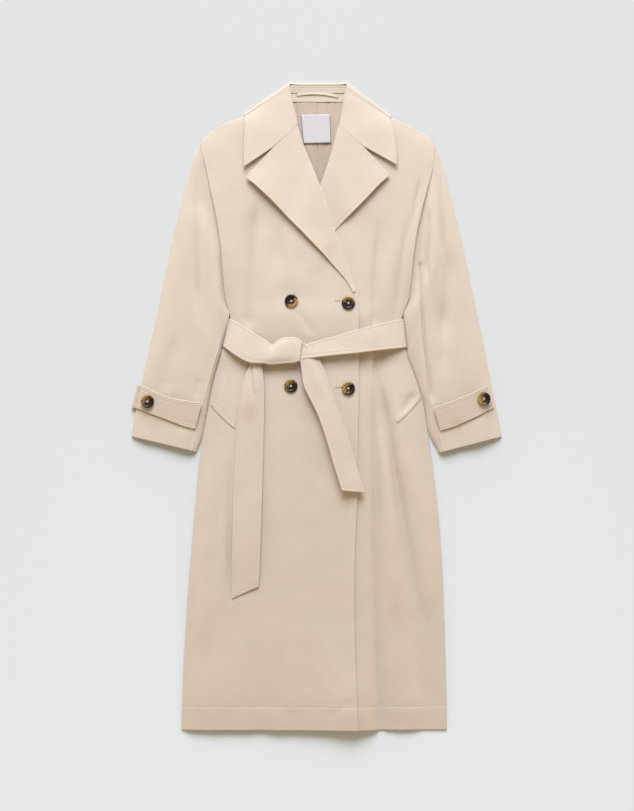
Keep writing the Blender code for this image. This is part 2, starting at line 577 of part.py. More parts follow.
def sleeve_plan(side, ring, across):
    """Point of a sleeve seen from above; across is 0 at its outer fold, 1 at its inner fold."""
    sizes = SLEEVES[side]
    x = sizes("outer_x", ring) * (1 - across) + sizes("inner_x", ring) * across
    y = sizes("outer_y", ring) * (1 - across) + sizes("inner_y", ring) * across
    column = "right_side" if side < 0 else "left_side"
    level = ARMHOLE_TOP + (ARMHOLE_LOW - ARMHOLE_TOP) * across
    chord = sizes("outer_x", 0.0) * (1 - across) + sizes("inner_x", 0.0) * across
    seam_gap = SEAM_GAP + SHOULDER_GAP * np.clip(1.0 - across / SHOULDER_SHARE, 0.0, 1.0)
    seam_x = BODY(column, level) + side * seam_gap
    near = np.clip(1.0 - ring / ARMHOLE_RINGS, 0.0, 1.0) ** 2
    return x + near * (seam_x - chord), y


def sleeve_top(side, ring, across):
    """Outer height of a sleeve's upper wall."""
    sizes = SLEEVES[side]
    x, y = sleeve_plan(side, ring, across)
    own = sizes("edge", ring) + (sizes("crown", ring) + folds(x, y)) * crown(across)
    column = "right_side" if side < 0 else "left_side"
    level = ARMHOLE_TOP + (ARMHOLE_LOW - ARMHOLE_TOP) * across
    seam = front_height(BODY(column, level), level) + CLOTH
    near = np.clip(1.0 - ring / ARMHOLE_RINGS, 0.0, 1.0) ** 2
    return own + near * (seam - own)


def sleeve_ring(side, ring):
    """Closed loop of points round a sleeve: outer fold, upper wall, inner fold, lower wall."""
    sizes = SLEEVES[side]
    radius = 0.5 * float(sizes("edge", ring))
    width = np.hypot(sizes("outer_x", ring) - sizes("inner_x", ring),
                     sizes("outer_y", ring) - sizes("inner_y", ring))
    turn = np.radians(np.linspace(-90.0, 90.0, SLEEVE_EDGE_CELLS + 1))
    top = armhole_shares()
    low = top[::-1]
    edge = radius * (1.0 - np.cos(turn)) / width
    across = np.concatenate([edge, top, 1.0 - edge[::-1], low])
    height = np.concatenate([radius * (1.0 + np.sin(turn)), sleeve_top(side, ring, top),
                             radius * (1.0 + np.sin(turn[::-1])), np.zeros(len(low))])
    x, y = sleeve_plan(side, ring, across)
    return with_height(x, y, height)


def make_sleeve(name, side):
    last = SLEEVES[side].keys[-1]
    rings = np.concatenate([[0.0, 0.5], np.arange(1.0, last + 0.5)])
    grid = np.stack([sleeve_ring(side, ring) for ring in rings])
    if side < 0:
        grid = grid[:, ::-1]
    walled(name, grid_mesh(name, grid, closed=True), CLOTH, "shell", outward=-1.0)


def sleeve_place(side, x, y):
    """Ring and across of a point on the lower sleeve, by halving the span of rings."""
    sizes = SLEEVES[side]
    low, high = np.full(np.shape(x), ARMHOLE_RINGS), np.full(np.shape(x), sizes.keys[-1])
    for _ in range(30):
        ring = 0.5 * (low + high)
        dx = sizes("inner_x", ring) - sizes("outer_x", ring)
        dy = sizes("inner_y", ring) - sizes("outer_y", ring)
        beyond = side * (dx * (y - sizes("outer_y", ring)) - dy * (x - sizes("outer_x", ring))) > 0
        low, high = np.where(beyond, ring, low), np.where(beyond, high, ring)
    across = ((x - sizes("outer_x", ring)) * dx + (y - sizes("outer_y", ring)) * dy)
    return ring, across / (dx ** 2 + dy ** 2)


def make_strap(name, side, rows):
    """Strap on a cuff: over the sleeve from its seam, then round the sleeve's outer fold."""
    strap = Table(STRAP_COLUMNS, rows)
    columns = strap.keys
    x = between(strap("top_x", columns), strap("low_x", columns), STRAP_CELLS)
    y = between(strap("top_y", columns), strap("low_y", columns), STRAP_CELLS)
    ring, across = sleeve_place(side, x, y)
    height = sleeve_top(side, ring, across) + STRAP_AIR
    grid = with_height(x, y, height)
    fold = grid[0]
    radius = 0.5 * (fold[:, 2] + STRAP_END_LOW)
    turned = []
    for angle in np.radians(STRAP_TURNS):
        reach = STRAP_END_START + STRAP_END_REACH * np.cos(angle)
        turned.append(with_height(fold[:, 0] + side * reach, fold[:, 1],
                                  radius * (1.0 + np.sin(angle))))
    cloth(name, np.concatenate([grid[::-1], np.stack(turned)]), STRAP_CLOTH)


# ---- collar and lapels ----------------------------------------------------------------------
def bent_row(roll, notch, tip, cells):
    """Offsets of the gorge row from a straight line, with its corner at the notch."""
    t = np.linspace(0.0, 1.0, cells + 1)[:, None]
    roll, notch, tip = (np.array(p, float) for p in (roll, notch, tip))
    bent = np.where(t < 0.5, roll + (notch - roll) * 2 * t, notch + (tip - notch) * (2 * t - 1))
    return bent - (roll + (tip - roll) * t)


def make_lapel(name, side, rows, notch):
    """Turned-out top of a front: it rolls at the front's edge and stands off at its outer edge."""
    lapel = Table(LAPEL_COLUMNS, rows)
    edge = "over_edge" if side < 0 else "under_edge"
    at = lapel.keys
    roll_y = lapel("roll_y", at)
    roll_x = BODY(edge, roll_y)
    x = between(roll_x, lapel("outer_x", at), LAPEL_CELLS)
    y = between(roll_y, lapel("outer_y", at), LAPEL_CELLS)
    bend = bent_row((roll_x[0], roll_y[0]), notch, (x[0, -1], y[0, -1]), LAPEL_CELLS)
    decay = np.clip(1.0 - at / NOTCH_ROWS, 0.0, 1.0)[:, None]
    x = x + decay * bend[:, 0]
    y = y + decay * bend[:, 1]
    out = np.linspace(0.0, 1.0, LAPEL_CELLS + 1)[None, :]
    rise = LAPEL_RISE * out ** 2 + ROLL_RISE * np.sin(np.pi * out)
    if side < 0:
        base = on_fronts(x, y)
    else:
        base = front_height(x, y) + CLOTH + LAID_GAP
        rise = rise * step(x, BODY("over_edge", y) + LAPEL_FREE, LAP_RAMP)
    width = np.hypot(x[:, -1] - x[:, 0], y[:, -1] - y[:, 0])
    shrink = step(width, 0.0, LAPEL_FULL_WIDTH)[:, None]
    grid = with_height(x, y, base + rise * shrink)
    cloth(name, grid, LAPEL_CLOTH)


def make_collar():
    """Collar: leaves on the fronts, turned round the shoulders, its fall flat under the back."""
    collar = Table(COLLAR_COLUMNS, COLLAR_ROWS, smooth=False)
    at = collar.keys
    x = between(collar("roll_x", at), collar("outer_x", at), COLLAR_CELLS)
    y = between(collar("roll_y", at), collar("outer_y", at), COLLAR_CELLS)
    for row, notch, towards in ((0, NOTCH_RIGHT, 1), (len(at) - 1, NOTCH_LEFT, -1)):
        lifted = (notch[0], notch[1] + NOTCH_GAP)
        bend = bent_row((x[row, 0], y[row, 0]), lifted, (x[row, -1], y[row, -1]), COLLAR_CELLS)
        for k, share in enumerate(COLLAR_BEND_SHARES):
            x[row + towards * k] += share * bend[:, 0]
            y[row + towards * k] += share * bend[:, 1]
    turn = collar("turn", at)[:, None] * np.ones(COLLAR_CELLS + 1)
    turn[:, 0] = 90.0
    turn[:, 1] = 0.5 * (turn[:, 1] + 90.0)
    # the first two cells make the roll, so on the turned rows they are drawn in to the roll line
    turned = (collar("turn", at) < 90.0)[:, None]
    length = np.hypot(x[0, -1] - x[0, 0], y[0, -1] - y[0, 0])
    out = np.linspace(0.0, 1.0, COLLAR_CELLS + 1)
    leaf = np.linspace(COLLAR_ROLL[-1], length, COLLAR_CELLS - 1)
    drawn = np.where(turned, np.append(COLLAR_ROLL[:-1], leaf) / length, out)
    x = np.where(turned, x[:, :1] + (x[:, -1:] - x[:, :1]) * drawn, x)
    y = np.where(turned, y[:, :1] + (y[:, -1:] - y[:, :1]) * drawn, y)
    outer_radius = 0.5 * (CLOTH * 2 + GAP * 3)
    roll_radius = collar("roll_radius", at)[:, None]
    radius = roll_radius + (outer_radius - roll_radius) * out
    angle = np.radians(turn)
    rise = COLLAR_RISE * out ** 2 + ROLL_RISE * np.sin(np.pi * out)
    from_end = np.minimum(at, at[-1] - at)
    near_end = np.clip(1.0 - from_end / COLLAR_LEAF_ROWS, 0.0, 1.0)[:, None]
    on_front = on_fronts(x, y) + rise * near_end
    around = COLLAR_CLOTH + radius * (1.0 + np.sin(angle))
    height = np.where(turned, around, on_front)
    push = np.where(turned, radius * np.cos(angle), 0.0)
    x = x + push * collar("face_x", at)[:, None]
    y = y + push * collar("face_y", at)[:, None]
    cloth("collar", with_height(x, y, height), COLLAR_CLOTH)


# ---- belt -----------------------------------------------------------------------------------
def make_belt():
    belt = Table(BELT_COLUMNS, BELT_ROWS, smooth=False)
    at = belt.keys
    x = between(belt("top_x", at), belt("low_x", at), BELT_CELLS)
    y = between(belt("top_y", at), belt("low_y", at), BELT_CELLS)
    angle = np.radians(belt("turn", at))[:, None]
    side = np.sign(x[:, :1])
    radius = 0.5 * (2 * CLOTH + 3 * GAP)
    turned = belt("turn", at)[:, None] < 90.0
    face_x = np.where(side < 0, BELT_FACE[-1][0], BELT_FACE[1][0])
    face_y = np.where(side < 0, BELT_FACE[-1][1], BELT_FACE[1][1])
    height = np.where(turned, BELT_CLOTH + radius * (1.0 + np.sin(angle)),
                      on_fronts(x, y) + belt("lift", at)[:, None])
    push = np.where(turned, radius * np.cos(angle), 0.0)
    cloth("belt", with_height(x + push * face_x, y + push * face_y, height), BELT_CLOTH)


def make_belt_end(name, rows, per_row):
    end = Table(END_COLUMNS, rows)
    at = np.linspace(0.0, end.keys[-1], int(end.keys[-1] * per_row) + 1)
    x = between(end("right_x", at), end("left_x", at), END_CELLS)
    y = between(end("right_y", at), end("left_y", at), END_CELLS)
    out = np.linspace(0.0, 1.0, END_CELLS + 1)
    pinch = end("pinch", at)[:, None] * np.sin(np.pi * out) ** 2
    height = on_fronts(x, y) + end("lift", at)[:, None] + pinch
    cloth(name, with_height(x, y, height), BELT_CLOTH)


def knot_creases(x, y):
    """Sum of the knot's creases, each a soft trough along a straight line."""
    total = 0.0
    for x0, y0, x1, y1, half_width, depth in KNOT_CREASES:
        along = ((x - x0) * (x1 - x0) + (y - y0) * (y1 - y0)) / ((x1 - x0) ** 2 + (y1 - y0) ** 2)
        along = np.clip(along, 0.0, 1.0)
        off = np.hypot(x - x0 - (x1 - x0) * along, y - y0 - (y1 - y0) * along)
        total = total + depth * np.exp(-(off / half_width) ** 2)
    return total


def make_knot():
    """The knot's hidden turns share one rounded solid, lofted from the cloth up."""
    corners = np.array(KNOT_OUTLINE)
    outline = np.stack([corners, 0.5 * (corners + np.roll(corners, -1, axis=0))], axis=1).reshape(-1, 2)
    centre = outline.mean(axis=0)
    floor = float(on_fronts(outline[:, 0], outline[:, 1]).max())
    builder = bmesh.new()
    rings = []
    for k, (scale, height) in enumerate(KNOT_SECTIONS):
        x, y = (centre + (outline - centre) * scale).T
        z = floor + height + (knot_creases(x, y) if k > KNOT_CREASED_FROM else 0.0 * x)
        rings.append([builder.verts.new(point) for point in np.stack([x, y, z], axis=1) * MM])
    for lower, upper in zip(rings, rings[1:]):
        for j in range(len(outline)):
            k = (j + 1) % len(outline)
            builder.faces.new((lower[j], lower[k], upper[k], upper[j]))
    builder.faces.new(rings[-1])
    builder.faces.new(rings[0][::-1])
    bmesh.ops.recalc_face_normals(builder, faces=builder.faces)
    mesh = bpy.data.meshes.new("belt_knot")
    builder.to_mesh(mesh)
    builder.free()
    add_object("belt_knot", mesh, "shell").data.shade_smooth()


# ---- small pieces ---------------------------------------------------------------------------
def make_welt(name, corners):
    """Strip between two long edges, lying on a front."""
    a, b, c, d = (np.array(corner) for corner in corners)
    t = np.linspace(0.0, 1.0, WELT_CELLS + 1)[:, None]
    first, second = a + (b - a) * t, d + (c - d) * t
    x = np.stack([first[:, 0], second[:, 0]], axis=1)
    y = np.stack([first[:, 1], second[:, 1]], axis=1)
    cloth(name, with_height(x, y, on_fronts(x, y) + WELT_LIFT), WELT_CLOTH)


def make_neck():
    """Facing, stand, lining, label and hanger loop, all on the inside of the back."""
    floor = CLOTH + GAP
    levels = np.array([FACING_LOW + GAP, FACING_TOP])
    x = between(np.full(2, FACING_MIDDLE - FACING_REACH), np.full(2, FACING_MIDDLE + FACING_REACH), 8)
    y = np.repeat(levels[:, None], x.shape[1], axis=1)
    cloth("neck_facing", with_height(x, y, back_lift(x, y) + floor), CLOTH)

    levels = np.array([STAND_LOW, 0.5 * (STAND_LOW + STAND_TOP), STAND_TOP])
    x = between(np.full(3, STAND_RIGHT), np.full(3, STAND_LEFT), 8)
    y = np.repeat(levels[:, None], x.shape[1], axis=1)
    t = (y - STAND_LOW) / (STAND_TOP - STAND_LOW)
    cloth("collar_stand", with_height(x, y, STAND_LOW_HEIGHT + (STAND_TOP_HEIGHT - STAND_LOW_HEIGHT) * t),
          CLOTH)

    levels = np.linspace(LINING_LOW, FACING_LOW, 13)
    half = np.interp(levels, (LINING_LOW, FACING_LOW), LINING_HALF_WIDTHS)
    x = between(-half, half, 12)
    y = np.repeat(levels[:, None], x.shape[1], axis=1)
    pleat = PLEAT_RISE * np.exp(-(x / PLEAT_HALF_WIDTH) ** 2)
    cloth("lining", with_height(x, y, back_lift(x, y) + floor + pleat), LINING_CLOTH, "lining")

    a, b, c, d = (np.array(corner) for corner in LABEL_CORNERS)
    across = np.linspace(0.0, 1.0, 7)[None, :, None]
    down = np.linspace(0.0, 1.0, 5)[:, None, None]
    plan = (a + (b - a) * across) * (1 - down) + (d + (c - d) * across) * down
    x, y = plan[..., 0], plan[..., 1]
    height = back_lift(x, y) + floor + LINING_CLOTH + GAP + PLEAT_RISE + LABEL_LIFT * down[..., 0] ** 2
    cloth("label", with_height(x, y, height), LABEL_CLOTH, "label")

    (x0, y0), (x1, y1) = LOOP_ENDS
    t = np.linspace(0.0, 1.0, 9)
    arch = 4.0 * t * (1.0 - t)
    low = y0 + (y1 - y0) * t + LOOP_ARCH * arch
    x = np.repeat((x0 + (x1 - x0) * t)[None, :], 2, axis=0)
    y = np.stack([low, low + LOOP_WIDTH])
    height = back_lift(x, y) + 2 * floor + LOOP_AIR + LOOP_LIFT * arch
    cloth("hanger_loop", with_height(x, y, height), WELT_CLOTH)


def make_button(name, x, y, height):
    """Dished button with a raised rim, turned from its profile."""
    r, h = BUTTON_RADIUS, BUTTON_HEIGHT
    profile = ((0.0, 0.62 * h), (0.55 * r, 0.62 * h), (0.70 * r, 0.92 * h), (0.84 * r, h),
               (0.96 * r, 0.8 * h), (r, 0.5 * h), (0.9 * r, 0.12 * h), (0.7 * r, 0.0), (0.0, 0.0))
    mesh = bpy.data.meshes.new(name)
    points = [(px * MM, 0.0, pz * MM) for px, pz in profile]
    mesh.from_pydata(points, [(i, i + 1) for i in range(len(points) - 1)], [])
    piece = add_object(name, mesh, "button")
    screw = piece.modifiers.new("turn", "SCREW")
    screw.steps = screw.render_steps = BUTTON_STEPS
    screw.use_merge_vertices = True
    screw.merge_threshold = 0.00005
    piece.location = (x * MM, y * MM, height * MM)
    return piece


def make_buttons():
    rim = np.radians(np.arange(0.0, 360.0, 30.0))
    ring_x, ring_y = BUTTON_RADIUS * np.cos(rim), BUTTON_RADIUS * np.sin(rim)
    for name, (x, y) in FRONT_BUTTONS.items():
        seat = float(on_fronts(x + ring_x, y + ring_y).max()) - LAID_GAP
        make_button(name, x, y, seat + GAP)
    for name, (x, y) in CUFF_BUTTONS.items():
        side = -1 if x < 0 else 1
        ring, across = sleeve_place(side, x + ring_x, y + ring_y)
        top = float(sleeve_top(side, ring, across).max())
        make_button(name, x, y, top + STRAP_CLOTH + CUFF_BUTTON_AIR)


clear_scene()
coat = bpy.data.collections.new("trench_coat")
bpy.context.scene.collection.children.link(coat)
make_back()
make_fronts()
make_sleeve("sleeve_right", -1)
make_sleeve("sleeve_left", 1)
make_lapel("lapel_right", -1, LAPEL_RIGHT_ROWS, NOTCH_RIGHT)
make_lapel("lapel_left", 1, LAPEL_LEFT_ROWS, NOTCH_LEFT)
make_collar()
make_neck()
make_belt()
make_knot()
make_belt_end("belt_end_long", END_LONG_ROWS, 1.5)
make_belt_end("belt_end_short", END_SHORT_ROWS, 1.5)
make_strap("cuff_strap_right", -1, STRAP_RIGHT_ROWS)
make_strap("cuff_strap_left", 1, STRAP_LEFT_ROWS)
for welt_name, welt_corners in WELTS.items():
    make_welt(welt_name, welt_corners)
make_buttons()
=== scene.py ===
"""Looks of the trench coat: every piece of cloth as a fine shell on the form of its solid.

Frame as in the part: +X to the wearer's left, +Y to the collar, +Z up, floor at z = 0.
Right and left in the names are the wearer's.  Sizes are in millimetres unless a name says else.
"""

import bpy
import numpy as np
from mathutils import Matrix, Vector


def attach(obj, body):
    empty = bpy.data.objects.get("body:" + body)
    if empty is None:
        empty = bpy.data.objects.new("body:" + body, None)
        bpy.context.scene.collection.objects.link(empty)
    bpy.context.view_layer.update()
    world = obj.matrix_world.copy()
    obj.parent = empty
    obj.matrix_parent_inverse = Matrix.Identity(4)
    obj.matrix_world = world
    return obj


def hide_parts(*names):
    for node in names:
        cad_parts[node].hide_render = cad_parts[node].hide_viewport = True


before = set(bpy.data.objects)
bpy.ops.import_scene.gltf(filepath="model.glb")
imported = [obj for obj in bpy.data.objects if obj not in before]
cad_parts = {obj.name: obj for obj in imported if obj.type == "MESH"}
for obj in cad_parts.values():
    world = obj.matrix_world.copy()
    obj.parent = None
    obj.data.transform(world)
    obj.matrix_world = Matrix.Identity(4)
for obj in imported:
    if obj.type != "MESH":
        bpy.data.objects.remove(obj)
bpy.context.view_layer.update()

MM = 0.001

# ---- cloth -------------------------------------------------------------------------------------
CLOTH = 1.4
COLLAR_CLOTH = 1.8
LAPEL_CLOTH = 1.6
BELT_CLOTH = 2.2
STRAP_CLOTH = 2.0
WELT_CLOTH = 0.9
LOOP_CLOTH = 1.1
LINING_CLOTH = 1.0
LABEL_CLOTH = 0.7
GAP = 0.3
LAID_GAP = 0.7
SEAM_GAP = 0.08
LAP_GAP = 0.5
CELL = 5.0              # size of a grid cell of the body's cloth
STRIP_CELL = 3.5        # of lapels, belt and belt ends
COLLAR_CELL = 3.2
STRAP_CELL = 3.0
BACK_CELLS = 96         # across the piece
FRONT_CELLS = 62
HEM_DEPTH = 43.5        # turned up and stitched
HEM_WALL = 0.25         # the hem is thicker by this much
HEM_GROOVE = 0.25       # of its stitching
STITCH_INSET = 5.6      # topstitching runs this far inside an edge
STITCH_PITCH = 4.6
STITCH_LENGTH = 3.1
STITCH_RADIUS = 0.36
ROD_SIDES = 6           # of a stitch
ROD_RINGS = ((-0.5, 0.35), (-0.36, 1.0), (0.36, 1.0), (0.5, 0.35))    # place along it and radius
GROOVE_DEPTH = 0.42
GROOVE_HALF = 0.55
BAND_RISE = 0.10        # cloth between an edge and its topstitching is fuller
EDGE_ROUND = 0.62       # of the cloth's thickness
TINY = 1e-12            # keeps a length that is divided by off zero

# distances from an edge at which the grid has lines: to round it, and to press in its stitching
NARROW_EDGE = (0.0, 0.12, 0.4, 0.9)
PLAIN_EDGE = (0.0, 0.12, 0.4, 0.9, 2.2)
SIDE_EDGE = (0.0, 1.0, 3.0, 6.5)
ROLL_EDGE = (0.0, 0.8, 2.4, 5.0)
COLLAR_ROLL_EDGE = (0.0, 0.008, 0.03, 0.07, 0.12, 0.2, 0.3, 0.45, 0.65, 0.95, 1.3, 1.8, 2.5, 3.5,
                    5.0)
SEWN_EDGE = (0.0, 0.12, 0.4, 0.9, 2.2, 3.8, 4.7, 5.2, 5.6, 6.0, 6.5, 7.6, 10.0)
TWICE_SEWN_EDGE = (0.0, 0.12, 0.4, 0.9, 2.0, 3.0, 3.4, 3.8, 4.2, 4.6, 6.0, 7.2, 7.6, 8.0, 8.4, 8.8, 10.0)

# ---- form: outlines as in the part, some heights fuller ----------------------------------------
BODY_COLUMNS = ("level", "right_side", "left_side", "over_edge", "under_edge",
                "side_height", "mid_height")
BODY_ROWS = (
    (-607.7, -254, 244, 77.6, -69, 1.7, 10.5),
    (-545, -252.5, 243.5, 75, -69, 1.7, 13),
    (-480, -250, 242, 72.5, -69, 1.7, 12),
    (-415, -246, 240, 71, -69, 1.7, 11.5),
    (-350, -242, 237.5, 70.5, -69, 1.7, 12.2),
    (-290, -237, 235, 71, -69, 1.7, 13),
    (-230, -232, 230.5, 73.5, -69, 1.7, 14),
    (-170, -226.5, 225, 76, -69, 1.7, 15),
    (-110, -221, 217.5, 76.5, -69, 1.7, 16),
    (-55, -214, 209.5, 77, -69, 1.7, 17),
    (0, -203.5, 201.5, 78, -69, 1.7, 17),
    (35, -197.2, 191.5, 78.5, -69, 1.7, 16.2),
    (66, -189.4, 181, 78.5, -69, 1.7, 14.6),
    (86, -183.2, 172, 78.3, -69, 1.7, 13.6),
    (106, -175.5, 166, 78, -69, 1.7, 13.4),
    (136, -166.5, 160.5, 78.5, -69, 1.7, 17),
    (168, -161.5, 159.5, 79, -69, 1.7, 18.4),
    (202, -172.5, 173.5, 77, -66, 4.5, 17.8),
    (256, -177, 179, 58, -51, 9.5, 15.5),
    (293, -179, 183, 46, -36, 11, 13.9),
    (330, -184, 188, 33, -23, 10.5, 12.8),
    (368, -191, 197, 21, -10, 9.5, 13.2),
    (406, -200, 207, 8, 4, 7.5, 13),
    (444, -207.5, 217.5, -7, 18, 5, 12),
    (470, -214, 221.5, -17.5, 26, 4.2, 11),
    (491, -221, 223, -26, 32.5, 3, 9.5),
    (509.5, -206, 205, -31.5, 37, 1.7, 8.5),
    (524.5, -182, 175, -35.5, 41, 1.7, 7.5),
    (536, -159, 150, -38.5, 44, 1.7, 7),
    (543, -135.5, 131, -40.5, 45, 1.7, 6.5),
    (551.5, -120, 116, -42.5, 46.5, 1.7, 6),
    (564, -99, 97, -45.5, 48.5, 2.2, 5.5),
    (577, -77, 77, -48, 51, 3.5, 5.5),
    (587, -61, 61, -50, 52, 3.5, 4.4),
)
BODY_SIDES = {-1: "right_side", 1: "left_side"}
SIDE_NAMES = {-1: "right", 1: "left"}       # the wearer's
HEM = -607.7
HEM_LINE = HEM + HEM_DEPTH      # of its topstitching
BODY_TOP = 587.0
ARMHOLE_LOW = 172.0
ARMHOLE_TOP = 491.0
LAP_RAMP = 40.0
LAP_OFF = 4.0
LAP_STAND = 2.4         # the front edge of the upper front stands off by this much
LAP_STAND_REACH = 16.0
SIDE_RADIUS = 0.9       # inner radius of the cloth where a front turns down to its side seam
SIDE_TURN_LEAST = 0.12  # radians, where it is sewn into the armhole instead
SIDE_TURN_CELLS = 7
SIDE_INSET = 2.0
FORM_NEAR_EDGE = 3.0    # creases reach their full depth where the swell is a third of its own
FLOOR_SOFTNESS = 0.35
BACK_ROOM = 0.3
SLEEVE_ROOM = 0.8
SIDE_SPREAD = 2.5       # the back's edge comes out this far beside the waist
BACK_INSET = 0.2
BACK_SWELL = 1.6
BACK_SEAM_TOP = 500.0
BREAK_LEVEL = 205.0     # the lapel's roll ends here and the front edge's stitching starts

VALLEY_SHARPNESS = 1.3      # 2 is a round trough, 1 a sharp one
# Creases of the fronts: three points of the valley's or ridge's line, half width, depth (a ridge is
# above 0), lean (towards 1 its left side is the steep one) and the shares over which it fades.
FRONT_CREASES = (
    (105.5, 124.1, 106.5, 62, 112, 0, 14, -6.5, 0.85, 0.05, 0.45),
    (118, 108, 119, 90, 122, 62, 14, -3.5, 0.5, 0.05, 0.6),
    (116, 60, 137.5, -64, 199, -440, 10.5, -13, -0.25, 0.15, 0.3),
    (106, 50, 109.4, -120.3, 121, -640, 9.5, -10.5, 0, 0.15, 0),
    (121.4, -7.5, 132.8, -157.9, 158.3, -450.9, 12, 5, 0, 0.3, 0.3),
    (150, 30, 159, -64, 176, -190, 13, 4, 0, 0.3, 0.4),
    (170, -60, 196, -240, 222, -470, 16, 3.4, 0, 0.3, 0.3),
    (188, 30, 172, 8, 160, -20, 9, -4.5, 0, 0.3, 0.4),
    (182, -330, 192, -430, 205, -560, 22, -5.5, 0, 0.4, 0.2),
    (228, -350, 237, -450, 242, -600, 10, -4.5, 0, 0.5, 0),
    (-196.9, -63.9, -206.3, -289.5, -208.2, -477.5, 16, 3.4, 0, 0.3, 0.3),
    (-160, -60.3, -162, -209.5, -164.2, -399.9, 7, -3, 0, 0.3, 0.3),
    (-174, -150, -175, -289.5, -176, -400, 9, 2.4, 0, 0.4, 0.3),
    (-170.6, 63.9, -180, 11.3, -183.8, -63.9, 8, 2.4, 0, 0.3, 0.4),
    (-112.3, 391.6, -119.7, 293.3, -127.1, 128, 10, -7.5, 0, 0.2, 0.15),
    (-63.4, 337.1, -61.6, 259.4, -55.9, 175.4, 13, -4.5, 0, 0.4, 0.3),
    (-91.6, 359.1, -95.4, 274.5, -91.6, 171.1, 13, 2.4, 0, 0.3, 0.3),
    (-39, 184.2, -22.1, 157.9, -3.3, 131.6, 8, -1.8, 0, 0.3, 0.2),
    (119, 365.9, 110.5, 270.7, 105, 130.2, 9, -6.5, 0.3, 0.35, 0.15),
    (179.2, 375.9, 158.8, 270.7, 149.5, 140, 6.5, -5.4, 0, 0.4, 0.3),
    (196, 435, 187, 387, 178, 310, 5, -5.5, 0.2, 0.3, 0.4),
    (147.1, 330.9, 135.8, 259.4, 132.1, 165.4, 12, 2.4, 0, 0.4, 0.3),
    (-219.5, -458.7, -221.4, -552.7, -223.2, -665.5, 50, 3, 0, 0.5, 0),
    (-102.9, -477.5, -102.9, -552.7, -102.9, -665.5, 50, -3, 0, 0.5, 0),
    (58.5, -401.1, 60.3, -552.7, 60, -665.5, 38, 8, 0, 0.75, 0),
    (139.6, -458.7, 139.6, -552.7, 139.6, -665.5, 26, -3.5, 0, 0.5, 0),
    (212, -230, 220, -420, 226, -665.5, 30, -9, 0, 0.8, 0),
    (-31.5, 30.1, -8.9, -63.9, 24.9, -176.7, 14, -3.4, 0, 0.3, 0.3),
    (30, -585, 43, -570, 62, -545, 6, -1, 0, 0.3, 0.3),
    (-20, -60, 10, -260, 18, -480, 22, -2.2, 0, 0.3, 0.3),
    (-75, -120, -66, -300, -70, -500, 20, 1.8, 0, 0.3, 0.3),
)
SLEEVE_CREASES = {
    -1: ((-212.1, 430.4, -201.9, 350.5, -187.5, 276, 8, -3.6, 0.25, 0.3, 0.35),
         (-225.5, 468.1, -225.4, 340.3, -222.4, 133.5, 7.5, -7.5, 0, 0.2, 0.3),
         (-207, 330, -204, 240, -206, 120, 8, -2.6, 0, 0.3, 0.3),
         (-260.8, 312.1, -285.3, 171.1, -313.5, 39.5, 15, 3, 0, 0.3, 0.3),
         (-264.6, 142.9, -279.6, 63.9, -285.3, 20.7, 13, -2.8, 0, 0.4, 0.2),
         (-245, 300, -247, 200, -256, 60, 12, -2.4, 0, 0.3, 0.3),
         (-221, 60, -224, 30, -229, 10, 8, -2.2, 0, 0.4, 0.3),
         (-300, -20, -302, -45, -303, -90, 13, -1.6, 0, 0.3, 0),
         (-250, -35, -252, -60, -253, -110, 12, 1.6, 0, 0.3, 0)),
    1: ((191.5, 270.5, 199.8, 137, 216, 2, 4, -8, 0.45, 0.02, 0.1),
        (212, 378, 208.6, 310, 206.5, 225, 4.5, -9, -0.4, 0.2, 0.3),
        (219.5, 380, 217, 300, 215, 200, 9, 3, 0, 0.3, 0.3),
        (229.5, 481, 233.5, 363, 244.5, 240, 6.5, -9, 0, 0.1, 0.3),
        (243.5, 300, 243, 230, 236, 110, 12, -8, 0, 0.3, 0.3),
        (254.3, 312.1, 273.1, 180.5, 288.1, 58.3, 15, -2.6, 0, 0.3, 0.3),
        (232.1, 220.7, 235, 151.7, 236.3, 45.1, 11, -4, 0, 0.3, 0.3),
        (268, 420, 286, 320, 312, 160, 13, 2.2, 0, 0.3, 0.3),
        (262, -20, 266, -45, 268, -100, 12, -2, 0, 0.3, 0),
        (300, -15, 302, -40, 303, -90, 12, 1.6, 0, 0.3, 0)),
}
# The sleeve dips beside the armhole's seam: height, depth and width of the dip, from the top down.
SEAM_DIPS = {
    -1: ((470, 0, 2), (446, 4, 12), (412, 8.5, 20), (385, 12, 26), (370, 12.5, 24),
         (358, 11.5, 20), (335, 11, 14), (300, 8.5, 8), (240, 7.5, 6.5), (200, 7.5, 7),
         (178, 2, 4)),
    1: ((446, 0, 2), (432, 4, 4), (380, 9, 7), (320, 12, 13), (285, 14, 16),
        (262, 14, 16), (240, 13.5, 15), (215, 11, 13), (200, 9, 10), (178, 2, 4)),
}
SLEEVE_RINGS = (0.0, 0.12, 0.4, 0.9, 1.6, 2.5, 3.6, 5.0, 6.6, 8.5, 10.8, 13.5, 17.0)

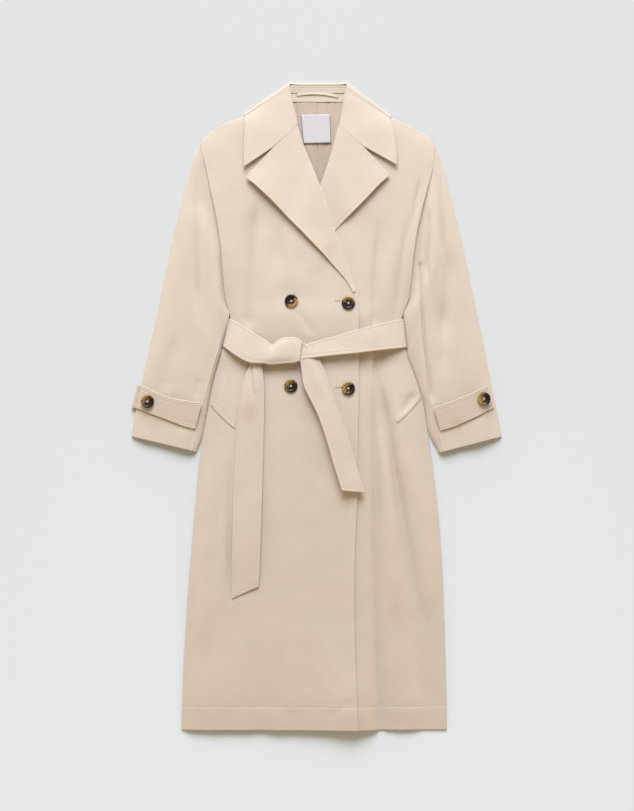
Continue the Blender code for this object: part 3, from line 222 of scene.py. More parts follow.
SLEEVE_COLUMNS = ("ring", "outer_x", "outer_y", "inner_x", "inner_y", "edge", "crown", "seam")
SLEEVE_ROWS = {
    -1: ((0, -222, 491, -164.5, 172, 4.4, 9, 0.97),
         (1, -235, 460, -166.2, 160, 4.8, 11.8, 0.97),
         (2, -246.5, 413, -169.3, 147, 4.8, 12.3, 0.97),
         (3, -257.5, 367, -173.8, 130, 4.4, 12.5, 0.965),
         (4, -270.2, 313, -178.4, 108, 3.8, 12.5, 0.96),
         (5, -283, 254, -186.3, 80, 3.6, 12.5, 0.955),
         (6, -295.2, 193, -194.9, 50, 3.6, 12, 0.95),
         (7, -308.6, 134, -201.9, 19, 3.6, 12, 0.94),
         (8, -320.6, 82, -207.4, -10, 3.8, 12, 0.925),
         (9, -332.5, 28, -212, -38, 4.2, 9.6, 0.91),
         (10, -342, -18, -217, -62, 4.6, 8, 0.92),
         (11, -347.5, -57, -225.5, -86, 5, 7.4, 0.93)),
    1: ((0, 224, 491, 162, 172, 4.4, 9, 0.64),
        (1, 237.5, 460, 163.9, 158, 4.8, 11.8, 0.64),
        (2, 248, 414, 165.6, 145, 4.8, 12.3, 0.656),
        (3, 258, 369, 167.4, 128, 5, 12, 0.676),
        (4, 270, 318, 169.9, 108, 3.8, 12.5, 0.719),
        (5, 283, 260, 175.7, 80, 3.6, 12.5, 0.766),
        (6, 295, 203, 188.4, 50, 3.6, 12, 0.854),
        (7, 307, 146, 198.6, 18, 3.6, 12, 0.905),
        (8, 318, 92, 205.6, -14, 3.8, 12, 0.893),
        (9, 329, 38, 212.5, -44, 4.2, 9.6, 0.866),
        (10, 339, -12, 219.7, -68, 4.6, 8, 0.895),
        (11, 347.5, -57, 228.5, -88, 5, 7.4, 0.925)),
}
SEAM_CLOTH = 0.15       # a sewn edge is rounded over this share of a free one
ARMHOLE_RINGS = 4.0
DIP_RINGS = 3.0
SEAM_STATIONS = (-4.0, -2.6, -1.6, -0.8, -0.3, 0.3, 0.8, 1.6)     # grid lines round its long seam
BESIDE_BODY = 0.5       # the sleeve lies this far off the body's side, between these heights
BESIDE_FROM = (-80.0, 45.0)
BESIDE_TO = (94.0, 14.0)
SEAM_AT = {-1: 0.76, 1: 0.80}          # the seam is where a plain crown would have this share
SEAM_RIDGE = 1.0
SEAM_RIDGE_FROM = {-1: (-160, 60), 1: (-105, 50)}

LAPEL_COLUMNS = ("row", "roll_y", "outer_x", "outer_y")
LAPEL_ROWS = {
    -1: ((0, 526.5, -133, 427.5),
         (1, 491, -117, 415),
         (2, 462, -99, 398),
         (3, 437, -80, 380),
         (4, 412, -58, 356),
         (5, 378, -33, 331),
         (6, 342, -9, 306),
         (7, 310, 14, 282),
         (8, 271, 34, 259),
         (9, 237, 55, 235),
         (10, 213, 68, 212)),
    1: ((0, 526.5, 137, 431.3),
        (1, 498, 122, 419),
        (2, 462, 104, 400),
        (3, 437, 86, 381),
        (4, 412, 68, 363),
        (5, 387, 51, 346),
        (6, 359, 34, 328),
        (7, 316, 10, 301),
        (8, 271, -20, 263),
        (9, 245, -38, 243)),
}
NOTCHES = {-1: (-81, 485), 1: (87.5, 486)}
# how far the lapels' outer edges stand off the fronts, row by row
LAPEL_RISES = {-1: (6.5, 11, 12.5, 11, 9.5, 8.5, 8, 7.5, 7.5, 6.5, 1.5),
               1: (5, 8, 8.5, 8, 7.5, 7, 7, 6.5, 5, 2)}
LAPEL_BOW = 1.6
LAPEL_BACK = 2.2         # the roll starts this far behind the front's edge
LAPEL_FREE = 6.0
LAPEL_ROLL_RADIUS = 1.2
LAPEL_ROLL_TURN = 0.95 * np.pi
LAPEL_ROLL_CELLS = 10
LAPEL_FULL_WIDTH = 60.0
NOTCH_GAP = 0.05
# shares of an end row at which its gorge seam ends and its free edge starts, and over what span
GORGE_END = (0.44, 0.08)
FREE_START = (0.47, 0.06)
NOTCH_ROWS = 3.0

COLLAR_COLUMNS = ("row", "roll_x", "roll_y", "outer_x", "outer_y", "turn", "face_x", "face_y",
                  "roll_radius")
COLLAR_ROWS = (
    (0, -35.8, 526.6, -136.8, 447, 90, 0, 1, 1.85),
    (1, -38.5, 545, -137, 481, 90, 0, 1, 1.85),
    (2, -44, 563, -135.5, 508, 90, 0, 1, 1.85),
    (3, -47.5, 580, -134.5, 528, 90, 0, 1, 1.85),
    (4, -49.5, 594, -134.5, 538, 90, -0.58, 0.82, 2.8),
    (5, -50.6, 602.4, -134.9, 544, 90, -0.58, 0.82, 2.8),
    (6, -50.2, 603.1, -134.9, 544, 45, -0.58, 0.82, 2.8),
    (7, -49.3, 603.6, -134.9, 544, 0, -0.58, 0.82, 2.8),
    (8, -48.2, 603.7, -134.9, 544, -45, -0.58, 0.82, 2.8),
    (9, -46.8, 603.4, -134.9, 544, -90, -0.58, 0.82, 2.8),
    (10, -42, 602.6, -112, 533, -90, -0.3, 0.95, 2.8),
    (11, -24, 602.2, -62, 523, -90, 0, 1, 2.8),
    (12, 2.5, 602.2, 2.5, 517, -90, 0, 1, 2.8),
    (13, 29, 602.2, 67, 523, -90, 0, 1, 2.8),
    (14, 47, 602.6, 117, 532, -90, 0.3, 0.95, 2.8),
    (15, 51.7, 603.4, 137.4, 540.4, -90, 0.61, 0.79, 2.8),
    (16, 53.1, 603.7, 137.4, 540.4, -45, 0.61, 0.79, 2.8),
    (17, 54.2, 603.6, 137.4, 540.4, 0, 0.61, 0.79, 2.8),
    (18, 55.1, 603.1, 137.4, 540.4, 45, 0.61, 0.79, 2.8),
    (19, 55.5, 602.4, 137.4, 540.4, 90, 0.61, 0.79, 2.8),
    (20, 54.5, 594, 138, 534, 90, 0.61, 0.79, 2.8),
    (21, 53, 580, 142, 524, 90, 0, 1, 1.85),
    (22, 51, 563, 146, 505, 90, 0, 1, 1.85),
    (23, 48, 545, 149, 481, 90, 0, 1, 1.85),
    (24, 41.6, 526.6, 150.3, 450.5, 90, 0, 1, 1.85),
)
COLLAR_RISE = 8.0
COLLAR_LEAF_ROWS = 5.0
TURN_PACE = 12.0        # a radian of its turn has as many grid lines as this length
COLLAR_TURN_REACH = 0.7        # the collar has turned half-way this far from its roll line
COLLAR_FOLD_RADIUS = 2.7
COLLAR_BACK_EDGE = 517.0
COLLAR_BACK_BEND = 30.0
COLLAR_BACK_REACH = 135.0

# Belt and knot: negative rows are the wrap of the knot, then round the right side and the back.
BELT_COLUMNS = ("row", "top_x", "top_y", "low_x", "low_y", "turn", "lift", "dome", "tilt")
BELT_ROWS = (
    (-6, -28.6, 116, -31.5, 88, 90, 5.5, 2, 9),
    (-5, -37, 123.2, -42, 84.5, 90, 5.5, 4.4, 7),
    (-4, -51, 124.4, -56, 83.8, 90, 5.5, 6, 7),
    (-3, -64.5, 122.6, -68, 83, 90, 5.5, 6.4, 7),
    (-2, -73.5, 117.8, -78, 82, 90, 5, 6, 7),
    (-1, -79, 113, -89, 81, 90, 4.4, 5, 7),
    (0, -83, 113, -99, 80.2, 90, 4, 3.6, 9.5),
    (1, -94, 122, -109, 79.5, 90, 3.6, 3.2, 9.5),
    (2, -110, 132, -125, 80.5, 90, 3, 1.6, 9.5),
    (3, -127, 143, -141, 87.5, 90, 2, 0.8, 9.5),
    (4, -143, 153.5, -157, 98, 90, 1.2, 0.3, 9),
    (5, -155, 160, -167.5, 106, 90, 0.6, 0, 6),
    (6, -160.8, 163, -173.3, 110.5, 90, 0, 0, 3),
    (7, -160.8, 163, -173.3, 110.5, 45, 0, 0, 0),
    (8, -160.8, 163, -173.3, 110.5, 0, 0, 0, 0),
    (9, -160.8, 163, -173.3, 110.5, -45, 0, 0, 0),
    (10, -160.8, 163, -173.3, 110.5, -90, 0, 0, 0),
    (11, -90, 163, -90, 110, -90, 0, 0, 0),
    (12, 0, 163, 0, 109.5, -90, 0, 0, 0),
    (13, 90, 163, 90, 109.5, -90, 0, 0, 0),
    (14, 159.3, 163, 165.3, 109.5, -90, 0, 0, 0),
    (15, 159.3, 163, 165.3, 109.5, -45, 0, 0, 0),
    (16, 159.3, 163, 165.3, 109.5, 0, 0, 0, 0),
    (17, 159.3, 163, 165.3, 109.5, 45, 0, 0, 0),
    (18, 159.3, 163, 165.3, 109.5, 90, 0, 0, 3),
    (19, 140, 158.8, 144, 107, 90, 0.8, 0, 7),
    (20, 117, 153.6, 119, 104, 90, 1.2, 0, 10),
    (21, 97, 148.6, 98, 101.5, 90, 1.2, 0, 10.5),
    (22, 76, 143, 76, 98.5, 90, 1.2, 0, 10.5),
    (23, 48, 135, 48, 96, 90, 1.2, 0, 10.5),
    (24, 20, 126.8, 20, 93, 90, 1.2, 0, 10),
    (25, -6, 119.6, -6, 90, 90, 1.2, 0, 9),
    (26, -34, 112, -34, 86.5, 90, 1, 0, 8),
)
BELT_CELLS = 12           # across the belt and its ends
BELT_BACK_ROW = 12.0      # the middle of the back
BELT_TOP_EDGE = 0.4       # pressed flatter than its lower edge
BELT_BACK_BAND = (106.0, 168.0)
BELT_BACK_RAMP = 40.0
KNOT_CURL_RADIUS = 5.0
KNOT_CURL_TURN = 0.7     # radians
BELT_FACE = {-1: (-0.97, 0.24), 1: (0.995, 0.1)}
# creases of the knot: the two ends of each, half width and depth
KNOT_CREASES = ((-52, 116, -40, 88, 7.5, -2.2), (-84, 109, -88.5, 84, 2.6, -2),
                (-98.5, 86, -86.5, 81.2, 1.7, -2), (-66, 114, -68, 92, 8, 0.9),
                (-36, 112, -34, 92, 4, 1))

END_EDGES = (("right_x", "right_y"), ("left_x", "left_y"))
END_COLUMNS = ("row", "right_x", "right_y", "left_x", "left_y", "lift", "pinch")
END_LONG_ROWS = (
    (0, -121, 88, -106, 88, 3.6, 0),
    (1, -125, 77, -103, 77, 4.2, 0.6),
    (2, -133, 60, -100, 60, 4.2, 3),
    (3, -141, 38, -98, 38, 3.4, 4),
    (4, -145.5, 11, -97.5, 11, 2.4, 2.2),
    (5, -149, -30, -98, -30, 1.6, 0.5),
    (6, -152, -75, -99.5, -75, 1.2, 0),
    (7, -155, -135, -101, -135, 1.4, 0),
    (8, -157, -196, -103, -196, 3, 0),
    (9, -158.5, -265, -105, -262, 4.2, 0),
    (10, -159, -320, -106.5, -308, 1.6, 0),
    (11, -159, -361, -108.5, -338, 0.2, 0),
)
END_SHORT_ROWS = (
    (0, -31, 108, -25, 119, 2.4, 0),
    (1, -32, 100, -15.5, 112.5, 4.4, 0.3),
    (2, -32.5, 91, -7.5, 105, 5.4, 1.2),
    (3, -29.5, 74, 4, 90, 6.8, 2.4),
    (4, -27.5, 56, 14, 67, 7.4, 3),
    (5, -25, 37, 22, 45, 8, 2),
    (6, -11, 9, 32, 13, 8.4, 1),
    (7, 3, -19, 44, -19, 8.8, 0.4),
    (8, 16, -56, 57, -54, 9.2, 0),
    (9, 29, -102, 71, -102, 9.4, 0),
    (10, 38, -131, 80.5, -132, 10.4, 0),
    (11, 46.5, -158, 89, -161.5, 11.4, 0),
)
END_TILT_ROWS = 3.0      # the tilt grows over the first rows
# how much higher the wearer's-right edge of an end lies than its other edge
END_LONG_TILT, END_SHORT_TILT = -2.0, 7.0
# creases of the free ends, as FRONT_CREASES
END_LONG_CREASES = ((-118, 80, -118.5, 38, -114, 8, 3, -3.6, -0.5, 0.05, 0.3),
                    (-127, 62, -126, 20, -127, -36, 12, 3.6, 0, 0.65, 0.45),
                    (-132, 30, -133, -20, -136, -90, 8, -1, 0, 0.3, 0.3))
END_SHORT_CREASES = ((-14, 96, -4, 66, 4, 20, 7, 1.2, 0, 0.3, 0.3),)

STRIP_EDGES = (("top_x", "top_y"), ("low_x", "low_y"))
STRAP_COLUMNS = ("column", "top_x", "top_y", "low_x", "low_y")
STRAP_ROWS = {
    -1: ((0, -330, 39.5, -340.7, -3.5),
         (1, -313, 33, -326, -8.5),
         (2, -295, 23.5, -306, -16.5),
         (3, -276, 16.5, -285, -24),
         (4, -257, 12, -265, -32),
         (5, -235, 9, -246, -39),
         (6, -214.5, 7, -227.5, -43)),
    1: ((0, 319.3, 38.6, 332.2, -3.2),
        (1, 305, 32.4, 315, -11.2),
        (2, 289, 24, 298, -21),
        (3, 270, 16.5, 281, -28),
        (4, 252, 9, 264, -36),
        (5, 234, 2.5, 247, -42),
        (6, 218.5, -3, 231.5, -46)),
}
STRAP_AIR = 1.7
STRAP_SLOPE = 4.2       # its upper edge stands off by this much more
STRAP_STITCHES = (3.8, 8.0)     # topstitched twice
STRAP_END_START = 2.1
STRAP_END_REACH = 2.9
STRAP_END_LOW = 0.6
STRAP_TURN_FROM = 66.0
STRAP_TURN_TO = -20.0

BUTTONHOLES = (((34.3, 196.6), (46, 196.2)), ((34.3, 34), (47, 34.8)))
HIP_STITCHES = (((-165, 75.2), (-172.5, 58.3), (-178.1, 39.5), (-183.8, 20.7), (-189.4, 5.6)),
                ((-157, 78), (-164.5, 58.3), (-170.1, 39.5), (-175.8, 20.7), (-181.4, 5.6)))

WELTS = {
    "pocket_welt_right": ((-199, 2), (-153, -42.5), (-153.5, -34.5), (-191, 5)),
    "pocket_welt_left": ((196, 15.5), (151, -31.5), (147, -24), (190, 21)),
}
WELT_LIFT = 0.05
WELT_BOW = 2.0
WELT_SWELL = 0.25

ON_BACK = CLOTH + GAP     # what lies on the back's inner face is this much above its underside
FACING_LOW = 570.0
FACING_TOP = 587.1
FACING_REACH = 55.0
FACING_MIDDLE = 1.5
FACING_LIFT = 1.1
STAND_LOW = 587.2
STAND_TOP = 602.15
STAND_RIGHT = -49.3
STAND_LEFT = 54.2
STAND_TUCK = 3.5        # its lower corners reach this far under the collar's leaves
STAND_LOW_HEIGHT = 6.4
STAND_TOP_HEIGHT = 8.3
STAND_STITCHES = (600.2, 597.0)
LINING_LOW = 402.0
LINING_AIR = 0.7
LINING_HALF_WIDTHS = (26.0, 58.0)
LABEL_CORNERS = ((-30, 546.5), (24.5, 548), (27, 493.5), (-25, 492))
LABEL_AIR = 1.7
LABEL_LIFT = 1.3
LOOP_ENDS = ((-37.5, 581), (40.5, 577.5))
LOOP_WIDTH = 6.0
LOOP_ARCH = 4.6
LOOP_LIFT = 1.1
LOOP_AIR = 0.15
# valleys and ridges of the lining, as FRONT_CREASES
LINING_CREASES = ((1.5, 585, 1, 500, 3, 395, 1.5, -1.3, 0.6, 0.02, 0.02),
                  (22, 580, 20, 520, 14, 460, 4, -1.3, 0, 0.1, 0.3),
                  (36, 580, 33, 530, 26, 480, 4, -1.3, 0, 0.1, 0.3),
                  (-42, 580, -36, 530, -28, 480, 5, -1, 0, 0.1, 0.3),
                  (-14, 560, -16, 530, -18, 500, 7, 1, 0, 0.3, 0.3),
                  (-20, 500, -12, 470, -2, 430, 6, 1.2, 0, 0.3, 0.3))

BUTTON_RADIUS = 12.5
BUTTON_HEIGHT = 3.8
# half section from the middle of the face to that of the underside, in shares of radius and height
BUTTON_PROFILE = ((0.0, 0.60), (0.3, 0.60), (0.52, 0.62), (0.62, 0.70), (0.70, 0.90), (0.78, 0.99),
                  (0.86, 1.0), (0.94, 0.90), (0.985, 0.72), (1.0, 0.5), (0.975, 0.28), (0.9, 0.12),
                  (0.7, 0.0), (0.0, 0.0))
BUTTON_STEPS = 72
THREAD_LEVEL = 0.62      # share of the height at which its thread lies
FACE_LINES = 18
# place, way that its amber patch lies, and how far that patch reaches over it
FRONT_BUTTONS = {"button_upper_right": (-47.5, 196, -50, 0.05),
                 "button_upper_left": (59, 192.5, 80, 0),
                 "button_lower_right": (-48.5, 37.5, 130, 0.05),
                 "button_lower_left": (59, 33, 150, 0.1)}
CUFF_BUTTON_AIR = 0.6
CUFF_BUTTONS = {"cuff_button_right": (-316.5, 8.5, 135, 0.05),
                "cuff_button_left": (312.5, 13.5, 175, 0.1)}
BUTTON_HOLES = 4
HOLE_RADIUS = 1.1
HOLE_CIRCLE = 2.5
HOLE_DEPTH = 1.7
HOLE_STITCH = (0.9, 1.2, 0.55)          # pitch, length and radius of the dark dashes along a buttonhole, painted shade of its slit

# ---- colours, linear ---------------------------------------------------------------------------
SHELL_COLOUR = (0.675, 0.569, 0.470)
BELT_LIT_COLOUR = (0.678, 0.568, 0.474)      # the shell's colour a shade lighter: painted light, for the belt that catches more of the lamp
THREAD_COLOUR = (0.74, 0.64, 0.54)
# dark brown of the buttonholes' dashes: painted shade of the slits, not a thread colour
HOLE_SLIT_SHADE_COLOUR = (0.30, 0.19, 0.10)
LINING_COLOUR = (0.564, 0.445, 0.351)
LABEL_COLOUR = (0.622, 0.590, 0.601)
BUTTON_DARK = (0.010, 0.005, 0.003)
BUTTON_BROWN = (0.085, 0.032, 0.008)
BUTTON_AMBER = (0.40, 0.23, 0.07)
FLOOR_SEEN = (0.83, 0.847, 0.839)      # what the floor looks like, all over
FLOOR_SHADED = 1.0                      # its tone evens out the light's fall over this span, in metres
FLOOR_FAR_GAIN = (0.045, 0.055, 0.08)   # makes up for the lamp's size
FLOOR_DROP = 0.3
FLOOR_HALF = 4.0        # metres

# ---- light and camera --------------------------------------------------------------------------
KEY_PLACE = (-0.15, 3.94, 3.06)
KEY_SIZE = 3.3
CAMERA_LENS = 85.0
CAMERA_SENSOR = 36.0
CAMERA_PLACE = (0.00047, 0.00094, 3.60)
KEY_POWER = 313.0
KEY_COLOUR = (0.874, 0.978, 1.124)
FILL_COLOUR = (1.0, 0.825, 0.59)
FILL_STRENGTH = 0.52
FILL_LOW = 0.62          # this share of it comes from near the horizon, as from a white studio floor


# ---- curves, noise and creases -----------------------------------------------------------------
def step(x, start, width):
    """Soft step from 0 at start to 1 at start + width."""
    t = np.clip((x - start) / width, 0.0, 1.0)
    return t * t * (3.0 - 2.0 * t)


class Curves:
    """Columns of a table as curves against its first column, corners rounded over a span."""

    def __init__(self, names, rows, rounding):
        data = np.array(rows, float)
        keys = data[:, 0]
        grain = rounding / 24.0
        self.fine = np.arange(keys[0] - 2 * rounding, keys[-1] + 2 * rounding, grain)
        window = np.hanning(51)
        window = window / window.sum()
        self.first, self.last = keys[0], keys[-1]
        self.values = {}
        for name, column in zip(names, data.T):
            before = (column[1] - column[0]) / (keys[1] - keys[0])
            after = (column[-1] - column[-2]) / (keys[-1] - keys[-2])
            raw = np.interp(self.fine, keys, column)
            raw += before * np.minimum(self.fine - keys[0], 0.0)
            raw += after * np.maximum(self.fine - keys[-1], 0.0)
            self.values[name] = np.convolve(raw, window, mode="same")

    def __call__(self, name, at):
        return np.interp(np.clip(at, self.first, self.last), self.fine, self.values[name])


def noise(x, y, size, seed):
    """Smooth value noise from -1 to 1 with hills of the given size."""
    lattice = np.random.default_rng(seed).uniform(-1.0, 1.0, (64, 64))
    u, v = x / size, y / size
    i, j = np.floor(u).astype(int), np.floor(v).astype(int)
    a, b = u - i, v - j
    a, b = a * a * (3 - 2 * a), b * b * (3 - 2 * b)
    near = lattice[i % 64, j % 64] * (1 - a) + lattice[(i + 1) % 64, j % 64] * a
    far = lattice[i % 64, (j + 1) % 64] * (1 - a) + lattice[(i + 1) % 64, (j + 1) % 64] * a
    return near * (1 - b) + far * b


def creases(x, y, rows):
    """Sum of soft valleys and ridges, each along a parabola through its three points."""
    total = np.zeros(np.broadcast(x, y).shape)
    for xa, ya, xm, ym, xb, yb, half, depth, lean, fade_in, fade_out in rows:
        centre = (xa * (y - ym) * (y - yb) / ((ya - ym) * (ya - yb))
                  + xm * (y - ya) * (y - yb) / ((ym - ya) * (ym - yb))
                  + xb * (y - ya) * (y - ym) / ((yb - ya) * (yb - ym)))
        off = x - centre
        width = half * np.where(off < 0.0, 1.0 - lean, 1.0 + lean)
        along = (ya - y) / (ya - yb)
        fade = step(along, 0.0, max(fade_in, 0.01))
        if fade_out > 0.0:
            fade = fade * (1.0 - step(along, 1.0 - fade_out, fade_out))
        sharpness = VALLEY_SHARPNESS if depth < 0.0 else 2.0
        total = total + depth * fade * np.exp(-np.abs(off / width) ** sharpness)
    return total


BODY = Curves(BODY_COLUMNS, BODY_ROWS, 14.0)
SLEEVES = {side: Curves(SLEEVE_COLUMNS, rows, 0.8) for side, rows in SLEEVE_ROWS.items()}


# ---- heights -----------------------------------------------------------------------------------
def soft_floor(height, lowest):
    """The height, led softly to the lowest that it may have."""
    return lowest + FLOOR_SOFTNESS * np.logaddexp(0.0, (height - lowest) / FLOOR_SOFTNESS)


def back_lift(x, y):
    """Underside of the back: on the floor, but over the belt and the collar's fall."""
    low, high = BELT_BACK_BAND
    over_belt = step(y, low - BELT_BACK_RAMP, BELT_BACK_RAMP)
    over_belt = over_belt * (1.0 - step(y, high, BELT_BACK_RAMP))
    fall_edge = COLLAR_BACK_EDGE + COLLAR_BACK_BEND * (x / COLLAR_BACK_REACH) ** 2
    over_collar = step(y - fall_edge, -70.0, 62.0)
    return (BELT_CLOTH + GAP) * over_belt + (COLLAR_CLOTH + GAP) * over_collar


def crown(across):
    return 1.0 - (2.0 * np.clip(across, 0.0, 1.0) - 1.0) ** 4


def waviness(x, y):
    """Slight unevenness of cloth that lies over air."""
    return 0.42 * noise(x, y, 74.0, 3) + 0.22 * noise(x + 31.0, y, 33.0, 5)


def hem_puckers(x, y):
    """The turned-up hem draws the cloth below its stitching into shallow puckers."""
    in_hem = 1.0 - step(y, HEM_LINE - 14.0, 16.0)
    return 1.2 * in_hem * noise(x, 0.35 * y, 24.0, 11)


def front_height(x, y, bridged=False):
    """Underside of the lower of the two fronts, or of what bridges its valleys."""
    right, left = BODY("right_side", y), BODY("left_side", y)
    swell = crown((x - right) / (left - right))
    side, middle = BODY("side_height", y), BODY("mid_height", y)
    folds = creases(x, y, FRONT_CREASES)
    form = (np.maximum(folds, 0.0) if bridged else folds) + waviness(x, y) + hem_puckers(x, y)
    form = form * np.minimum(1.0, FORM_NEAR_EDGE * swell)
    return back_lift(x, y) + soft_floor(side + (middle - side) * swell + form, CLOTH + BACK_ROOM)


def lapel_left_outer(y):
    rows = np.array(LAPEL_ROWS[1])[::-1]
    return np.interp(y, rows[:, 3], rows[:, 2])


def over_lap(x, y):
    """How far the right front is lifted by the left front and its lapel under it."""
    on_front = step(x, BODY("under_edge", y) - LAP_RAMP - LAP_OFF, LAP_RAMP)
    off_lapel = step(x, lapel_left_outer(y) + LAP_OFF, LAP_RAMP)
    lapel_there = step(y, LAPEL_ROWS[1][-1][3] - LAP_RAMP - LAP_OFF, LAP_RAMP)
    lapel = (LAPEL_CLOTH + LAID_GAP + GAP) * on_front * (1.0 - off_lapel) * lapel_there
    standing = LAP_STAND * step(x, BODY("over_edge", y) - LAP_STAND_REACH, LAP_STAND_REACH)
    return (CLOTH + LAP_GAP) * on_front + lapel + standing * (1.0 - lapel_there)


def on_fronts(x, y, bridged=False):
    """Underside of a piece laid on the fronts, wherever it lies."""
    beside = step(BODY("over_edge", y) + LAP_RAMP + LAP_OFF - x, 0.0, LAP_RAMP)
    return front_height(x, y, bridged) + over_lap(x, y) * beside + CLOTH + LAID_GAP


# ---- grids -------------------------------------------------------------------------------------
def stations(total, low, high, cells):
    """Distances from 0 to each total: the given ones from both ends, even cells between."""
    total = np.atleast_1d(np.asarray(total, float))[:, None]
    low, high = np.array(low)[None, :], np.array(high)[None, :]
    room = 0.45 * total
    first = low * np.minimum(1.0, room / max(low[0, -1], 1e-9))
    last = total - high[:, ::-1] * np.minimum(1.0, room / max(high[0, -1], 1e-9))
    t = np.linspace(0.0, 1.0, cells + 1)[None, 1:-1]
    middle = first[:, -1:] + (last[:, :1] - first[:, -1:]) * t
    return np.hstack([first, middle, last])


def levels_between(low, high, near_low, near_high, cell, extra=()):
    """One row of stations from low to high, with further lines round each extra place."""
    row = stations(high - low, near_low, near_high, max(2, int((high - low) / cell)))[0] + low
    for place in extra:
        row = row[np.abs(row - place) > 2.0]
        row = np.append(row, place + np.array((-1.6, -0.8, -0.4, 0.0, 0.4, 0.8, 1.6)))
    return np.sort(row)


def stack(x, y, z):
    return np.stack(np.broadcast_arrays(x, y, z), axis=-1)


def cross_grid(first, last, shares):
    """Points from one edge curve to the other at the given shares, rows by columns."""
    return first[:, None] * (1.0 - shares) + last[:, None] * shares


def running(paces):
    """Distance of each point along a line, from the steps between the points."""
    return np.concatenate([[0.0], np.cumsum(paces)])


def paces(x, y):
    return np.hypot(np.diff(x), np.diff(y))


def evenly(fine, run, cell, low, high):
    """The fine keys at even distances of their run, closer near both its ends."""
    at = stations(run[-1], low, high, max(2, int(run[-1] / cell)))[0]
    return np.interp(at, run, fine)


def outer_run(curves, fine):
    """Distance along the outer edge that a table gives."""
    return running(paces(curves("outer_x", fine), curves("outer_y", fine)))


def along_evenly(curves, near, far, key_first, key_last, cell, low, high):
    """Keys of a table at even distances along the line midway between two edge curves."""
    fine = np.linspace(key_first, key_last, 1500)
    x = 0.5 * (curves(near[0], fine) + curves(far[0], fine))
    y = 0.5 * (curves(near[1], fine) + curves(far[1], fine))
    return evenly(fine, running(paces(x, y)), cell, low, high)


def between_edges(curves, near, far, keys, low, high, cells):
    """Plan grid from one edge of a table's strip to the other, and its shares of the way."""
    (x0, y0), (x1, y1) = ([curves(name, keys) for name in edge] for edge in (near, far))
    width = np.hypot(x1 - x0, y1 - y0)
    shares = stations(width, low, high, cells) / width[:, None]
    return cross_grid(x0, x1, shares), cross_grid(y0, y1, shares), shares


def read_off(at, run, values):
    """Rows of values at distances along a run."""
    return np.stack([np.interp(at, run, column) for column in values.T], axis=1)


def curled(grid, at_end, radius, angle, cells):
    """The grid with columns added past its first or last one, which curl down below it."""
    edge, inner = (grid[:, -1], grid[:, -2]) if at_end else (grid[:, 0], grid[:, 1])
    along = np.gradient(edge[:, :2], axis=0)
    out = np.stack([along[:, 1], -along[:, 0]], axis=1)
    out /= np.linalg.norm(out, axis=1, keepdims=True) + TINY
    towards = np.sign(np.sum(out * (edge - inner)[:, :2], axis=1, keepdims=True))
    out = out * np.where(towards == 0.0, 1.0, towards)
    columns = []
    for k in range(1, cells + 1):
        turn = np.asarray(angle) * k / cells
        push = np.asarray(radius) * np.sin(turn)
        drop = np.asarray(radius) * (1.0 - np.cos(turn))
        point = edge.copy()
        point[:, :2] += out * np.broadcast_to(push, len(edge))[:, None]
        point[:, 2] -= drop
        columns.append(point[:, None])
    return np.concatenate([grid] + columns if at_end else columns[::-1] + [grid], axis=1)


# ---- shells of cloth ---------------------------------------------------------------------------
def grid_normals(grid, closed):
    if closed:
        grid = np.concatenate([grid[:, -1:], grid, grid[:, :1]], axis=1)
    normal = np.cross(np.gradient(grid, axis=1), np.gradient(grid, axis=0))
    normal /= np.linalg.norm(normal, axis=2, keepdims=True) + TINY
    return normal[:, 1:-1] if closed else normal


def edge_distances(grid):
    across = np.linalg.norm(np.diff(grid, axis=1), axis=2)
    along = np.linalg.norm(np.diff(grid, axis=0), axis=2)
    left = np.pad(np.cumsum(across, axis=1), ((0, 0), (1, 0)))
    low = np.pad(np.cumsum(along, axis=0), ((1, 0), (0, 0)))
    return {"left": left, "right": left[:, -1:] - left, "low": low, "top": low[-1:] - low}


def sewn_relief(distance, insets=(STITCH_INSET,)):
    """Grooves of the topstitching and the fuller band beside it, against distance from the edge."""
    groove = sum(-GROOVE_DEPTH * np.exp(-((distance - inset) / GROOVE_HALF) ** 2) for inset in insets)
    return groove + BAND_RISE * (1.0 - step(distance, insets[-1] - 1.2, 2.2))


